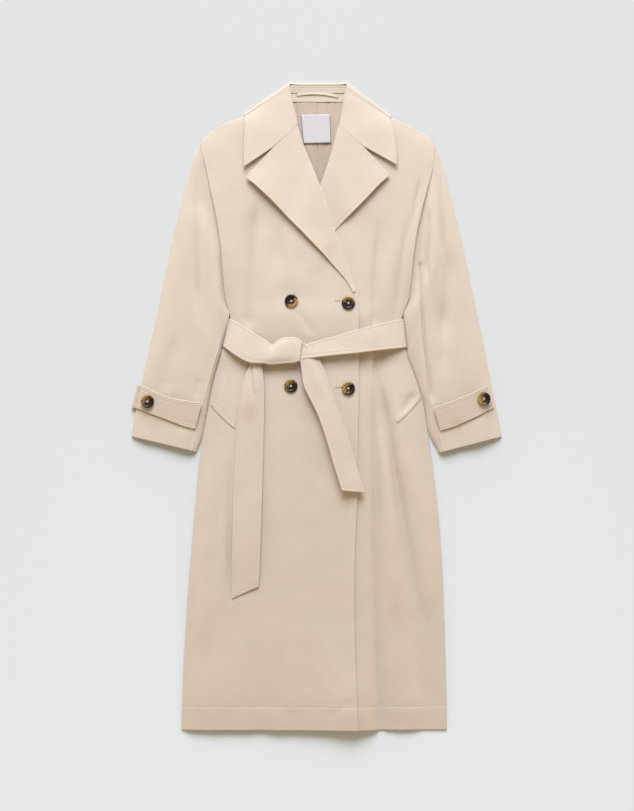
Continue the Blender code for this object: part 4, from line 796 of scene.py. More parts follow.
class Shell:
    """Cloth of some thickness on a grid of points, with rounded edges, and its outer face."""

    def __init__(self, grid, wall, sewn=(), closed=False, inward=False, up_at=(0, 0), relief=0.0,
                 tight=None, insets=(STITCH_INSET,)):
        normal = grid_normals(grid, closed)
        self.flipped = normal[up_at][2] < 0.0
        if self.flipped:
            normal = -normal
        edges = edge_distances(grid)
        wall = np.broadcast_to(wall, grid.shape[:2])
        tight = tight or {}
        sides = ("low", "top") if closed else ("low", "top", "left", "right")
        ends = [edges[side] / (EDGE_ROUND * wall * tight.get(side, 1.0)) for side in sides]
        share = np.clip(np.minimum.reduce(ends), 0.0, 1.0)
        bulge = np.sqrt(1.0 - (1.0 - share) ** 2)
        half = 0.5 * wall * bulge
        middle = grid + normal * (0.5 * wall * (-1.0 if inward else 1.0))[..., None]
        extra = relief + sum(sewn_relief(edges[side], insets) for side in sewn)
        self.outer = middle + normal * (half + extra * bulge)[..., None]
        self.inner = middle - normal * half[..., None]
        self.normal = normal
        self.edges = edges
        self.closed = closed

    def cut(self):
        """Greatest width and length along the cloth, and its area, in metres."""
        middle = 0.5 * (self.outer + self.inner)
        if self.closed:
            middle = np.concatenate([middle, middle[:, :1]], axis=1)
        across, along = np.diff(middle, axis=1), np.diff(middle, axis=0)
        area = 0.5 * (np.linalg.norm(np.cross(across[:-1], along[:, :-1]), axis=2)
                      + np.linalg.norm(np.cross(across[1:], along[:, 1:]), axis=2)).sum()
        width = np.linalg.norm(across, axis=2).sum(axis=1).max()
        length = np.linalg.norm(along, axis=2).sum(axis=0).max()
        return float(width * MM), float(length * MM), float(area * MM * MM)

    def build(self, name, material):
        rows, columns = self.outer.shape[:2]
        count = rows * columns
        outer = np.arange(count).reshape(rows, columns)
        inner = outer.copy()
        inside = np.zeros((rows, columns), bool)
        inside[1:-1, slice(None) if self.closed else slice(1, -1)] = True
        inner[inside] = count + np.arange(inside.sum())
        points = np.concatenate([self.outer.reshape(-1, 3), self.inner[inside]]) * MM
        if self.closed:
            outer = np.hstack([outer, outer[:, :1]])
            inner = np.hstack([inner, inner[:, :1]])
        length = self.edges["left"].mean(axis=0)
        if self.closed:
            length = np.append(length, length[-1] + CELL)
        u = np.broadcast_to(length * MM, (rows, len(length)))
        v = np.broadcast_to(self.edges["low"].mean(axis=1)[:, None] * MM, u.shape)
        place = np.stack([u, v], axis=-1)

        def quads(index, reverse):
            corners = [index[:-1, :-1], index[:-1, 1:], index[1:, 1:], index[1:, :-1]]
            spots = [place[:-1, :-1], place[:-1, 1:], place[1:, 1:], place[1:, :-1]]
            if reverse:
                corners, spots = corners[::-1], spots[::-1]
            return (np.stack([c.ravel() for c in corners], axis=1),
                    np.stack([s.reshape(-1, 2) for s in spots], axis=1))

        top, top_uv = quads(outer, self.flipped)
        low, low_uv = quads(inner, not self.flipped)
        faces = np.concatenate([top, low])
        uv = np.concatenate([top_uv, low_uv])
        return add_mesh(name, points, faces, material, uv.reshape(-1, 2))


def place_object(name, data):
    thing = bpy.data.objects.new(name, data)
    bpy.context.scene.collection.objects.link(thing)
    return thing


def add_mesh(name, points, faces, material, uv=None):
    mesh = bpy.data.meshes.new(name)
    mesh.from_pydata(points.tolist(), [], faces.tolist() if isinstance(faces, np.ndarray) else faces)
    if uv is not None:
        layer = mesh.uv_layers.new(name="cloth_metres")
        layer.data.foreach_set("uv", np.asarray(uv, np.float32).ravel())
    mesh.shade_smooth()
    mesh.materials.append(material)
    return place_object(name, mesh)


def lay_sheet(name):
    """Measures the cut of the cloth that shows, all round for a tube, and does nothing further with it.
    """
    width, length, area = SHELLS[name].cut()


def hand_over(piece, nodes=()):
    """The piece rides on the part and stands for its solids."""
    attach(piece, "root")
    if nodes:
        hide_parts(*nodes)
    return piece

SHELLS = {}         # by the name of the solid that each stands for


def dress(shell, name, material, nodes=()):
    """The shell as a piece of cloth in place of the solid of its name, or of the given ones."""
    hand_over(shell.build("cloth_" + name, material), nodes or [name])
    SHELLS[name] = shell


# ---- stitches ----------------------------------------------------------------------------------
def ring_faces(rings, sides):
    """Quads between neighbouring rings of points."""
    return [(i * sides + j, i * sides + (j + 1) % sides, (i + 1) * sides + (j + 1) % sides,
             (i + 1) * sides + j) for i in range(rings - 1) for j in range(sides)]


def capsules(centres, directions, normals, length, radius, flat):
    """Points and faces of many small rods with rounded ends, one for each centre."""
    side = np.cross(normals, directions)
    side /= np.linalg.norm(side, axis=1, keepdims=True) + TINY
    points = []
    for along, scale in ROD_RINGS:
        for a in np.arange(ROD_SIDES) * 2.0 * np.pi / ROD_SIDES:
            points.append(centres + directions * along * length
                          + (side * np.cos(a) + normals * np.sin(a) * flat) * radius * scale)
    points = np.stack(points, axis=1)
    last = (len(ROD_RINGS) - 1) * ROD_SIDES
    rod = ring_faces(len(ROD_RINGS), ROD_SIDES)
    rod += [tuple(range(ROD_SIDES))[::-1], tuple(range(last, last + ROD_SIDES))]
    faces = [tuple(i * points.shape[1] + corner for corner in face)
             for i in range(len(centres)) for face in rod]
    return points.reshape(-1, 3), faces


def stitch_rows(name, lines, material, pitch=STITCH_PITCH, length=STITCH_LENGTH, radius=STITCH_RADIUS):
    """One mesh of thread for several lines, each given by its points and normals."""
    centres, directions, normals = [], [], []
    for line, normal in lines:
        run = running(np.linalg.norm(np.diff(line, axis=0), axis=1))
        at = np.arange(0.6 * pitch, run[-1] - 0.4 * pitch, pitch)
        if len(at) == 0:
            continue
        place, up = read_off(at, run, line), read_off(at, run, normal)
        tangent = read_off(at + 0.5, run, line) - read_off(at - 0.5, run, line)
        tangent /= np.linalg.norm(tangent, axis=1, keepdims=True) + TINY
        centres.append(place + up * 0.35 * radius)
        directions.append(tangent)
        normals.append(up)
    points, faces = capsules(np.concatenate(centres), np.concatenate(directions),
                             np.concatenate(normals), length, radius, 0.8)
    hand_over(add_mesh(name, points * MM, faces, material))


def line_near(shell, side, inset=STITCH_INSET, span=(0.0, 1.0)):
    """Points and normals of a shell's outer face along the grid line nearest to inset."""
    if side in ("left", "right"):
        column = int(np.argmin(np.abs(np.median(shell.edges[side], axis=0) - inset)))
        points, normals = shell.outer[:, column], shell.normal[:, column]
    else:
        row = int(np.argmin(np.abs(np.median(shell.edges[side], axis=1) - inset)))
        points, normals = shell.outer[row], shell.normal[row]
    first, last = int(span[0] * len(points)), int(np.ceil(span[1] * len(points)))
    return points[first:last], normals[first:last]


# ---- materials ---------------------------------------------------------------------------------
def add_node(tree, kind, inputs, **settings):
    """A node; each of its inputs is set to a value or linked to another node's output."""
    node = tree.nodes.new("ShaderNode" + kind)
    for key, value in settings.items():
        setattr(node, key, value)
    for socket, value in inputs.items():
        if isinstance(value, bpy.types.NodeSocket):
            tree.links.new(value, node.inputs[socket])
        else:
            node.inputs[socket].default_value = value
    return node


def new_material(name, sockets):
    material = bpy.data.materials.new(name)
    material.use_nodes = True
    tree = material.node_tree
    shader = tree.nodes["Principled BSDF"]
    for socket, value in sockets.items():
        shader.inputs[socket].default_value = value
    return material, tree, shader


def mixed_colour(tree, colour, share_from, amount):
    """A colour that grows lighter and darker by the amount where a node's output goes 0 to 1."""
    ramp = add_node(tree, "ValToRGB", {"Fac": share_from})
    for element, place, factor in zip(ramp.color_ramp.elements, (0.3, 0.7), (1 - amount, 1 + amount)):
        element.color = tuple(min(1.0, c * factor) for c in colour) + (1.0,)
        element.position = place
    return ramp.outputs["Color"]


def cloth_material(name, colour, roughness, twill_angle, variation, bump, sheen):
    """Fine twill: diagonal ribs, uneven threads and a faint cloudiness of the colour."""
    material, tree, shader = new_material(name, {
        "Roughness": roughness, "Specular IOR Level": 0.22,
        "Sheen Weight": sheen, "Sheen Roughness": 0.45})
    uv = add_node(tree, "UVMap", {}, uv_map="cloth_metres").outputs["UV"]
    turned = add_node(tree, "Mapping", {"Rotation": (0.0, 0.0, twill_angle), "Vector": uv})
    ribs = add_node(tree, "TexWave", {"Scale": 260.0, "Distortion": 1.5, "Detail": 2.0,
                                      "Detail Scale": 3.0, "Vector": turned.outputs["Vector"]})
    slub = add_node(tree, "TexNoise", {"Scale": 420.0, "Detail": 4.0, "Vector": uv}).outputs["Fac"]
    cloud = add_node(tree, "TexNoise", {"Scale": 22.0, "Detail": 4.0, "Vector": uv}).outputs["Fac"]
    tones = add_node(tree, "Mix", {"Factor": 1.0, "A": mixed_colour(tree, colour, cloud, variation),
                                   "B": mixed_colour(tree, (0.94, 0.94, 0.94), slub, 0.06)},
                     data_type="RGBA", blend_type="MULTIPLY")
    tree.links.new(tones.outputs["Result"], shader.inputs["Base Color"])
    height = add_node(tree, "Math", {0: ribs.outputs["Fac"], 1: slub}, operation="ADD")
    relief = add_node(tree, "Bump", {"Strength": bump, "Distance": 0.0002,
                                     "Height": height.outputs["Value"]})
    tree.links.new(relief.outputs["Normal"], shader.inputs["Normal"])
    return material


def thread_material(name, colour):
    material, tree, shader = new_material(name, {"Roughness": 0.6, "Specular IOR Level": 0.3})
    where = add_node(tree, "TexCoord", {}).outputs["Object"]
    twist = add_node(tree, "TexNoise", {"Scale": 1500.0, "Detail": 2.0, "Vector": where})
    tree.links.new(mixed_colour(tree, colour, twist.outputs["Fac"], 0.08),
                   shader.inputs["Base Color"])
    return material


def button_material(name, x, y, bearing, reach):
    """Tortoiseshell: near black, with an amber patch on one side and smaller blotches."""
    material, tree, shader = new_material(name, {
        "Roughness": 0.42, "Specular IOR Level": 0.32, "Coat Weight": 0.1, "Coat Roughness": 0.3})
    where = add_node(tree, "TexCoord", {}).outputs["Object"]
    place = add_node(tree, "Mapping", {"Location": (x * MM, y * MM, 0.0),
                                       "Rotation": (0.0, 0.0, np.radians(bearing)),
                                       "Scale": (BUTTON_RADIUS * MM,) * 3, "Vector": where},
                     vector_type="TEXTURE").outputs["Vector"]
    split = add_node(tree, "SeparateXYZ", {"Vector": place})
    blotch = add_node(tree, "TexNoise", {"Scale": 2.2, "Detail": 4.0, "Roughness": 0.6, "Vector": place})
    fleck = add_node(tree, "TexNoise", {"Scale": 4.5, "Detail": 3.0, "Vector": place})
    side = add_node(tree, "Math", {0: split.outputs["X"], 1: 0.42, 2: reach - 0.47},
                    operation="MULTIPLY_ADD")
    both = add_node(tree, "Math", {0: side.outputs["Value"], 1: blotch.outputs["Fac"]}, operation="ADD")
    amber = add_node(tree, "Math", {0: fleck.outputs["Fac"], 1: 0.8, 2: both.outputs["Value"]},
                     operation="MULTIPLY_ADD")
    ramp = add_node(tree, "ValToRGB", {"Fac": amber.outputs["Value"]})
    elements = ramp.color_ramp.elements
    elements[0].position, elements[0].color = 0.50, BUTTON_DARK + (1.0,)
    elements[1].position, elements[1].color = 0.72, BUTTON_AMBER + (1.0,)
    elements.new(0.58).color = BUTTON_BROWN + (1.0,)
    tree.links.new(ramp.outputs["Color"], shader.inputs["Base Color"])
    return material


SHELL = cloth_material("shell_gabardine", SHELL_COLOUR, 0.82, 1.1, 0.022, 0.16, 0.12)
# the belt's cloth is the shell's colour a shade lighter: painted light on the raised belt
LIT_BELTING = cloth_material("belt_gabardine_painted_light", BELT_LIT_COLOUR, 0.82, 1.1, 0.022, 0.16, 0.12)
LINING = cloth_material("lining_satin", LINING_COLOUR, 0.42, 0.78, 0.05, 0.08, 0.25)
LABEL = cloth_material("label_ribbon", LABEL_COLOUR, 0.6, 0.0, 0.01, 0.12, 0.1)
THREAD = thread_material("thread", THREAD_COLOUR)
HOLE_SLIT_SHADE = thread_material("buttonhole_slit_painted_shade", HOLE_SLIT_SHADE_COLOUR)


# ---- body --------------------------------------------------------------------------------------
def side_turn(y):
    """1 where a front turns down to a seam at the back panel, 0 along the armhole."""
    return 1.0 - step(y, ARMHOLE_LOW - 22.0, 22.0) * (1.0 - step(y, ARMHOLE_TOP, 14.0))


def side_x(side, y):
    return BODY(BODY_SIDES[side], y) - side * SIDE_INSET * side_turn(y)


def body_levels():
    return levels_between(HEM, BODY_TOP, PLAIN_EDGE, PLAIN_EDGE, CELL, (HEM_LINE,))


def make_back():
    levels = body_levels()
    spread = SIDE_SPREAD * step(levels, 40.0, 40.0) * (1.0 - step(levels, 108.0, 40.0))
    right, left = side_x(-1, levels) + BACK_INSET - spread, side_x(1, levels) - BACK_INSET + spread
    x = right[:, None] + stations(left - right, PLAIN_EDGE, PLAIN_EDGE, BACK_CELLS)
    y = np.repeat(levels[:, None], x.shape[1], axis=1)
    edge = np.minimum(x - right[:, None], left[:, None] - x)
    swell = step(edge, 6.0, 60.0) * (0.5 + 0.5 * noise(x, 0.22 * y, 58.0, 21))
    seam = 0.5 * np.exp(-((x - FACING_MIDDLE) / 1.4) ** 2) * (y < BACK_SEAM_TOP)
    lift = BACK_SWELL * swell * step(y, HEM + 20.0, 120.0) * (1.0 - step(y, 40.0, 60.0)) + seam
    dress(Shell(stack(x, y, back_lift(x, y) + lift), CLOTH), "back", SHELL)


def make_front(name, side, edge, height):
    """A front from its side seam to its front edge, and turned down to the side seam."""
    levels = body_levels()
    first, last = side_x(side, levels), BODY(edge, levels)
    at = stations(np.abs(last - first), SIDE_EDGE, SEWN_EDGE, FRONT_CELLS)
    x = first[:, None] + np.sign(last - first)[:, None] * at
    y = np.repeat(levels[:, None], x.shape[1], axis=1)
    angle = SIDE_TURN_LEAST + (0.5 * np.pi - SIDE_TURN_LEAST) * side_turn(levels)
    grid = curled(stack(x, y, height(x, y)), False, SIDE_RADIUS, angle, SIDE_TURN_CELLS)
    y = grid[..., 1]
    wall = CLOTH + HEM_WALL * (1.0 - step(y, HEM_LINE - 3.0, 4.0))
    groove = -HEM_GROOVE * np.exp(-((y - HEM - HEM_DEPTH) / 0.6) ** 2)
    in_armhole = (1.0 - side_turn(levels))[:, None]
    shell = Shell(grid, wall, sewn=("right",), up_at=(0, -1), relief=groove,
                  tight={"left": 1.0 - (1.0 - SEAM_CLOTH) * in_armhole})
    dress(shell, name, SHELL)


# ---- sleeves -----------------------------------------------------------------------------------
def sleeve_inner_x(side, ring):
    """Inner edge of a sleeve, drawn up to the body's side below the belt."""
    x, y = SLEEVES[side]("inner_x", ring), SLEEVES[side]("inner_y", ring)
    beside = BODY(BODY_SIDES[side], y) + side * BESIDE_BODY
    near = step(y, *BESIDE_FROM) * (1.0 - step(y, *BESIDE_TO))
    return x + (beside - x) * near


def armhole(side, across):
    """Plan place of the armhole's seam, from the shoulder to under the arm."""
    level = ARMHOLE_TOP + (ARMHOLE_LOW - ARMHOLE_TOP) * across
    return BODY(BODY_SIDES[side], level), level


def near_armhole(ring):
    return np.clip(1.0 - ring / ARMHOLE_RINGS, 0.0, 1.0) ** 2


def sleeve_width(side, ring):
    sizes = SLEEVES[side]
    return np.hypot(sizes("outer_x", ring) - sizes("inner_x", ring),
                    sizes("outer_y", ring) - sizes("inner_y", ring))


def sleeve_plan(side, ring, across):
    sizes = SLEEVES[side]
    x = sizes("outer_x", ring) * (1 - across) + sleeve_inner_x(side, ring) * across
    y = sizes("outer_y", ring) * (1 - across) + sizes("inner_y", ring) * across
    chord = sizes("outer_x", 0.0) * (1 - across) + sizes("inner_x", 0.0) * across
    seam_x = armhole(side, across)[0] + side * SEAM_GAP
    return x + near_armhole(ring) * (seam_x - chord), y


def sleeve_top(side, ring, across):
    sizes = SLEEVES[side]
    x, y = sleeve_plan(side, ring, across)
    form = creases(x, y, SLEEVE_CREASES[side]) + waviness(x, y)
    seam = sizes("seam", ring)
    off_seam = (across - seam) * sleeve_width(side, ring)
    ridge = np.exp(-(off_seam / 1.3) ** 2) - 0.9 * np.exp(-((off_seam - 2.6) / 1.4) ** 2)
    form = form + SEAM_RIDGE * ridge * step(-y, *SEAM_RIDGE_FROM[side])
    turned = np.where(across < seam, across * SEAM_AT[side] / seam,
                      SEAM_AT[side] + (1.0 - SEAM_AT[side]) * (across - seam) / (1.0 - seam))
    turned = across + (turned - across) * step(ring, 2.5, 3.0)
    own = sizes("edge", ring) + (sizes("crown", ring) + form) * crown(turned)
    sewn_at = front_height(*armhole(side, across)) + CLOTH
    heights, depths, widths = np.array(SEAM_DIPS[side])[::-1].T
    off = np.abs(x - BODY(BODY_SIDES[side], y))
    dip = np.exp(-(off / np.interp(y, heights, widths)) ** VALLEY_SHARPNESS)
    dip = dip * (1.0 - np.exp(-(off / 1.0) ** 2))
    dip = dip * np.interp(y, heights, depths, left=0.0, right=0.0) * (ring < DIP_RINGS)
    height = own + near_armhole(ring) * (sewn_at - own) - dip
    return soft_floor(height, 2.0 * CLOTH + SLEEVE_ROOM * crown(across))


def make_sleeve(side):
    sizes = SLEEVES[side]
    fine = np.linspace(0.0, sizes.last, 600)
    turn = np.radians(np.linspace(-90.0, 90.0, 9))
    rows = []
    for ring in evenly(fine, outer_run(sizes, fine), CELL, SLEEVE_RINGS, PLAIN_EDGE):
        width = float(sleeve_width(side, ring))
        radius = 0.5 * float(sizes("edge", ring))
        seam = min(float(sizes("seam", ring)) * width, width - 8.5)
        rim = 1.3 * radius
        top = np.concatenate([np.linspace(rim, seam - 5.6, 50), seam + np.array(SEAM_STATIONS),
                              np.linspace(seam + 2.6, width - rim, 12)])
        low = np.linspace(rim, width - rim, 40)[::-1]
        edge = radius * (1.0 - np.cos(turn))
        across = np.concatenate([edge, top, width - edge[::-1], low]) / width
        lift = np.concatenate([radius * (1.0 + np.sin(turn)), sleeve_top(side, ring, top / width),
                               radius * (1.0 + np.sin(turn[::-1])), np.zeros(len(low))])
        x, y = sleeve_plan(side, ring, across)
        rows.append(stack(x, y, lift))
    shell = Shell(np.stack(rows), CLOTH, closed=True, inward=True, up_at=(40, 25),
                  tight={"low": SEAM_CLOTH})
    dress(shell, "sleeve_" + SIDE_NAMES[side], SHELL)


def sleeve_place(side, x, y):
    """Ring and across of a point on the lower sleeve, by halving the span of rings."""
    sizes = SLEEVES[side]
    low, high = np.full(np.shape(x), ARMHOLE_RINGS), np.full(np.shape(x), sizes.last)
    for _ in range(30):
        ring = 0.5 * (low + high)
        dx = sleeve_inner_x(side, ring) - sizes("outer_x", ring)
        dy = sizes("inner_y", ring) - sizes("outer_y", ring)
        from_x, from_y = x - sizes("outer_x", ring), y - sizes("outer_y", ring)
        beyond = side * (dx * from_y - dy * from_x) > 0
        low, high = np.where(beyond, ring, low), np.where(beyond, high, ring)
    return ring, (from_x * dx + from_y * dy) / (dx ** 2 + dy ** 2)


def make_strap(side):
    strap = Curves(STRAP_COLUMNS, STRAP_ROWS[side], 0.6)
    keys = along_evenly(strap, *STRIP_EDGES, 0, strap.last, STRAP_CELL, TWICE_SEWN_EDGE, PLAIN_EDGE)
    x, y, shares = between_edges(strap, *STRIP_EDGES, keys, TWICE_SEWN_EDGE, TWICE_SEWN_EDGE, 8)
    ring, across = sleeve_place(side, x, y)
    grid = stack(x, y, sleeve_top(side, ring, across) + STRAP_AIR + STRAP_SLOPE * (1.0 - shares))
    if side < 0:
        fold = grid[0]
        radius = 0.5 * (fold[:, 2] + STRAP_END_LOW)
        turned = []
        for angle in np.radians(np.linspace(STRAP_TURN_FROM, STRAP_TURN_TO, 9)):
            reach = STRAP_END_START + STRAP_END_REACH * np.cos(angle)
            turned.append(stack(fold[:, 0] + side * reach, fold[:, 1], radius * (1.0 + np.sin(angle))))
        grid = np.concatenate([np.stack(turned[::-1]), grid])
    shell = Shell(grid, STRAP_CLOTH, sewn=("left", "right", "low"), up_at=(20, 6), insets=STRAP_STITCHES,
                  tight={"top": SEAM_CLOTH})
    dress(shell, "cuff_strap_" + SIDE_NAMES[side], SHELL)


# ---- collar and lapels -------------------------------------------------------------------------
def gorge_bend(roll, notch, tip, shares):
    """Offsets of a row with a corner at the notch, halfway, from the straight line."""
    t = shares[..., None]
    roll, notch, tip = (np.array(p, float) for p in (roll, notch, tip))
    bent = np.where(t < 0.5, roll + (notch - roll) * 2 * t, notch + (tip - notch) * (2 * t - 1))
    return bent - (roll + (tip - roll) * t)


def sewn_to_collar(shares):
    """Roundness of an edge that is sewn as far as the notch and free beyond it."""
    return 1.0 - (1.0 - SEAM_CLOTH) * (1.0 - step(shares, *GORGE_END))


def make_lapel(side):
    lapel = Curves(LAPEL_COLUMNS, LAPEL_ROWS[side], 0.5)
    edge = "over_edge" if side < 0 else "under_edge"
    fine = np.linspace(0.0, lapel.last, 900)
    keys = evenly(fine, outer_run(lapel, fine), STRIP_CELL, SEWN_EDGE, PLAIN_EDGE)
    roll_y = lapel("roll_y", keys)
    roll_x = BODY(edge, roll_y) + side * LAPEL_BACK
    outer_x, outer_y = lapel("outer_x", keys), lapel("outer_y", keys)
    width = np.hypot(outer_x - roll_x, outer_y - roll_y)
    shares = stations(width, ROLL_EDGE, SEWN_EDGE, 26) / width[:, None]
    x, y = cross_grid(roll_x, outer_x, shares), cross_grid(roll_y, outer_y, shares)
    bend = gorge_bend((roll_x[0], roll_y[0]), NOTCHES[side], (outer_x[0], outer_y[0]), shares)
    decay = np.clip(1.0 - keys / NOTCH_ROWS, 0.0, 1.0)[:, None]
    x, y = x + decay * bend[..., 0], y + decay * bend[..., 1]
    edge_rise = np.interp(keys, np.arange(len(LAPEL_RISES[side])), LAPEL_RISES[side])[:, None]
    rise = edge_rise * shares ** 2.4 + LAPEL_BOW * np.sin(np.pi * shares)
    if side < 0:
        base = on_fronts(x, y)
    else:
        base = front_height(x, y) + CLOTH + LAID_GAP
        rise = rise * step(x, BODY("over_edge", y) + LAPEL_FREE, LAP_RAMP)
    rise = rise * step(width, 0.0, LAPEL_FULL_WIDTH)[:, None]
    ripple = 0.35 * noise(x, y, 38.0, 31) * np.sin(np.pi * shares)
    grid = curled(stack(x, y, base + rise + ripple), False, LAPEL_ROLL_RADIUS, LAPEL_ROLL_TURN,
                  LAPEL_ROLL_CELLS)
    tight, free = np.ones(grid.shape[:2]), np.zeros(grid.shape[:2])
    tight[:, -shares.shape[1]:] = sewn_to_collar(shares)
    free[:, -shares.shape[1]:] = step(shares, *FREE_START)
    shell = Shell(grid, LAPEL_CLOTH, sewn=("right",), up_at=(3, -3), tight={"low": tight},
                  relief=sewn_relief(edge_distances(grid)["low"]) * free)
    dress(shell, "lapel_" + SIDE_NAMES[side], SHELL)


def make_collar():
    collar = Curves(COLLAR_COLUMNS, COLLAR_ROWS, 0.55)
    fine = np.linspace(0.0, collar.last, 4000)
    turned_by = np.radians(collar("turn", fine)) * TURN_PACE
    pace = paces(collar("outer_x", fine), collar("outer_y", fine)) + np.abs(np.diff(turned_by))
    pace = pace + 0.5 * paces(collar("roll_x", fine), collar("roll_y", fine))
    keys = evenly(fine, running(pace), COLLAR_CELL, SEWN_EDGE, SEWN_EDGE)
    roll_x, roll_y = collar("roll_x", keys), collar("roll_y", keys)
    outer_x, outer_y = collar("outer_x", keys), collar("outer_y", keys)
    width = np.hypot(outer_x - roll_x, outer_y - roll_y)
    from_roll = stations(width, COLLAR_ROLL_EDGE, SEWN_EDGE, 24)
    shares = from_roll / width[:, None]
    x, y = cross_grid(roll_x, outer_x, shares), cross_grid(roll_y, outer_y, shares)
    ends = ((0, NOTCHES[-1], keys), (-1, NOTCHES[1], collar.last - keys))
    for row, notch, from_end in ends:
        lifted = (notch[0], notch[1] + NOTCH_GAP)
        bend = gorge_bend((roll_x[row], roll_y[row]), lifted, (outer_x[row], outer_y[row]), shares)
        share = np.interp(from_end, (0.0, 1.0, 2.0, 3.0), (1.0, 0.6, 0.25, 0.0))[:, None]
        x, y = x + share * bend[..., 0], y + share * bend[..., 1]
    turn = collar("turn", keys)[:, None]
    turned = 1.0 - step(turn, 45.0, 45.0)
    reach = 1.0 - np.exp(-from_roll / COLLAR_TURN_REACH)
    angle = np.radians(90.0 + (turn - 90.0) * reach)
    roll_radius = collar("roll_radius", keys)[:, None]
    radius = roll_radius + (COLLAR_FOLD_RADIUS - roll_radius) * shares
    from_end = np.minimum(keys, collar.last - keys)
    near_end = np.clip(1.0 - from_end / COLLAR_LEAF_ROWS, 0.0, 1.0)[:, None]
    rise = COLLAR_RISE * shares ** 2.2 + LAPEL_BOW * np.sin(np.pi * shares)
    on_front = on_fronts(x, y) + rise * near_end + 0.3 * noise(x, y, 36.0, 33) * near_end * shares
    around = COLLAR_CLOTH + radius * (1.0 + np.sin(angle))
    push = radius * np.cos(angle) * turned
    x = x + push * collar("face_x", keys)[:, None]
    y = y + push * collar("face_y", keys)[:, None]
    grid = stack(x, y, on_front + (around - on_front) * turned)
    edges, tight = edge_distances(grid), sewn_to_collar(shares)
    relief = (sewn_relief(edges["low"]) + sewn_relief(edges["top"])) * step(shares, *FREE_START)
    shell = Shell(grid, COLLAR_CLOTH, sewn=("right",), up_at=(3, -3), relief=relief,
                  tight={"low": tight, "top": tight, "left": SEAM_CLOTH})
    dress(shell, "collar", SHELL)


# ---- belt --------------------------------------------------------------------------------------
def knot_creases(x, y):
    total = np.zeros(np.shape(x))
    for x0, y0, x1, y1, half, depth in KNOT_CREASES:
        along = ((x - x0) * (x1 - x0) + (y - y0) * (y1 - y0)) / ((x1 - x0) ** 2 + (y1 - y0) ** 2)
        along = np.clip(along, 0.0, 1.0)
        off = np.hypot(x - x0 - (x1 - x0) * along, y - y0 - (y1 - y0) * along)
        total = total + depth * np.exp(-(off / half) ** 2)
    return total


def make_belt():
    """Belt and knot as one strip; returns which of its rows lie outside the knot."""
    belt = Curves(BELT_COLUMNS, BELT_ROWS, 0.45)
    fine = np.linspace(belt.first, belt.last, 5000)
    pace = paces(0.5 * (belt("top_x", fine) + belt("low_x", fine)),
                 0.5 * (belt("top_y", fine) + belt("low_y", fine)))
    pace = pace + np.abs(np.diff(np.radians(belt("turn", fine)))) * 6.0
    keys = evenly(fine, running(pace), STRIP_CELL, PLAIN_EDGE, PLAIN_EDGE)
    x, y, shares = between_edges(belt, *STRIP_EDGES, keys, SEWN_EDGE, SEWN_EDGE, BELT_CELLS)
    turn = belt("turn", keys)[:, None]
    turned = 1.0 - step(turn, 60.0, 30.0)
    angle = np.radians(turn)
    face = np.where(keys[:, None] < BELT_BACK_ROW, BELT_FACE[-1], BELT_FACE[1])
    radius = 0.5 * (2 * CLOTH + 3 * GAP)
    dome = belt("dome", keys)[:, None]
    knot = step(dome, 4.0, 5.0)
    swell = 1.0 - np.abs(2.0 * shares - 1.0) ** 2.6
    slack = 0.35 * noise(x, y, 26.0, 41) * (1.0 - np.abs(2.0 * shares - 1.0))
    bulge = dome * (0.3 + 0.7 * swell) + knot_creases(x, y) * knot + belt("tilt", keys)[:, None] * shares
    on_front = on_fronts(x, y, True) + belt("lift", keys)[:, None] + bulge + slack
    around = BELT_CLOTH + radius * (1.0 + np.sin(angle))
    push = radius * np.cos(angle) * turned
    grid = stack(x + push * face[:, :1], y + push * face[:, 1:], on_front + (around - on_front) * turned)
    in_knot = step(-keys, -1.0, 2.5)
    for at_end in (True, False):
        grid = curled(grid, at_end, KNOT_CURL_RADIUS * in_knot + 0.1,
                      0.1 + KNOT_CURL_TURN * in_knot, 6)
    edges = edge_distances(grid)
    relief = (sewn_relief(edges["left"]) + sewn_relief(edges["right"])) * (1.0 - in_knot)[:, None]
    shell = Shell(grid, BELT_CLOTH, up_at=(40, 14), relief=relief, tight={"left": BELT_TOP_EDGE})
    dress(shell, "belt", LIT_BELTING, nodes=["belt", "belt_knot"])
    return keys > 0.5


def make_belt_end(name, rows, end_creases, tilt):
    end = Curves(END_COLUMNS, rows, 0.7)
    keys = along_evenly(end, *END_EDGES, 0, end.last, STRIP_CELL, PLAIN_EDGE, SEWN_EDGE)
    x, y, shares = between_edges(end, *END_EDGES, keys, SEWN_EDGE, SEWN_EDGE, BELT_CELLS)
    pinch = end("pinch", keys)[:, None] * np.sin(np.pi * shares) ** 2
    height = on_fronts(x, y, True) + end("lift", keys)[:, None] + pinch + creases(x, y, end_creases)
    from_knot = np.clip(keys / END_TILT_ROWS, 0.0, 1.0)[:, None]
    height = height + 0.3 * noise(x, y, 30.0, 43) + tilt * (0.5 - shares) * from_knot
    shell = Shell(stack(x, y, height), BELT_CLOTH, sewn=("left", "right", "top"), up_at=(5, 8))
    dress(shell, name, LIT_BELTING)


# ---- small pieces ------------------------------------------------------------------------------
def patch(name, x, y, height, wall, material, tight=None):
    dress(Shell(stack(x, y, height), wall, up_at=(3, 3), tight=tight), name, material)


def make_welt(name, corners):
    a, b, c, d = (np.array(corner, float) for corner in corners)
    length = np.linalg.norm(b - a)
    long_at = stations(length, PLAIN_EDGE, PLAIN_EDGE, 20)[0] / length
    first, second = a + (b - a) * long_at[:, None], d + (c - d) * long_at[:, None]
    width = np.linalg.norm(second - first, axis=1)
    shares = stations(width, NARROW_EDGE, NARROW_EDGE, 5) / width[:, None]
    x = cross_grid(first[:, 0], second[:, 0], shares)
    y = cross_grid(first[:, 1], second[:, 1], shares)
    bow = -WELT_BOW * 4.0 * (long_at * (1.0 - long_at))[:, None] * np.sign(a[0])
    normal = np.array([b[1] - a[1], a[0] - b[0]]) / length
    x, y = x + bow * normal[0], y + bow * normal[1]
    height = on_fronts(x, y) + WELT_LIFT + WELT_SWELL * np.sin(np.pi * shares)
    patch(name, x, y, height, WELT_CLOTH, SHELL)


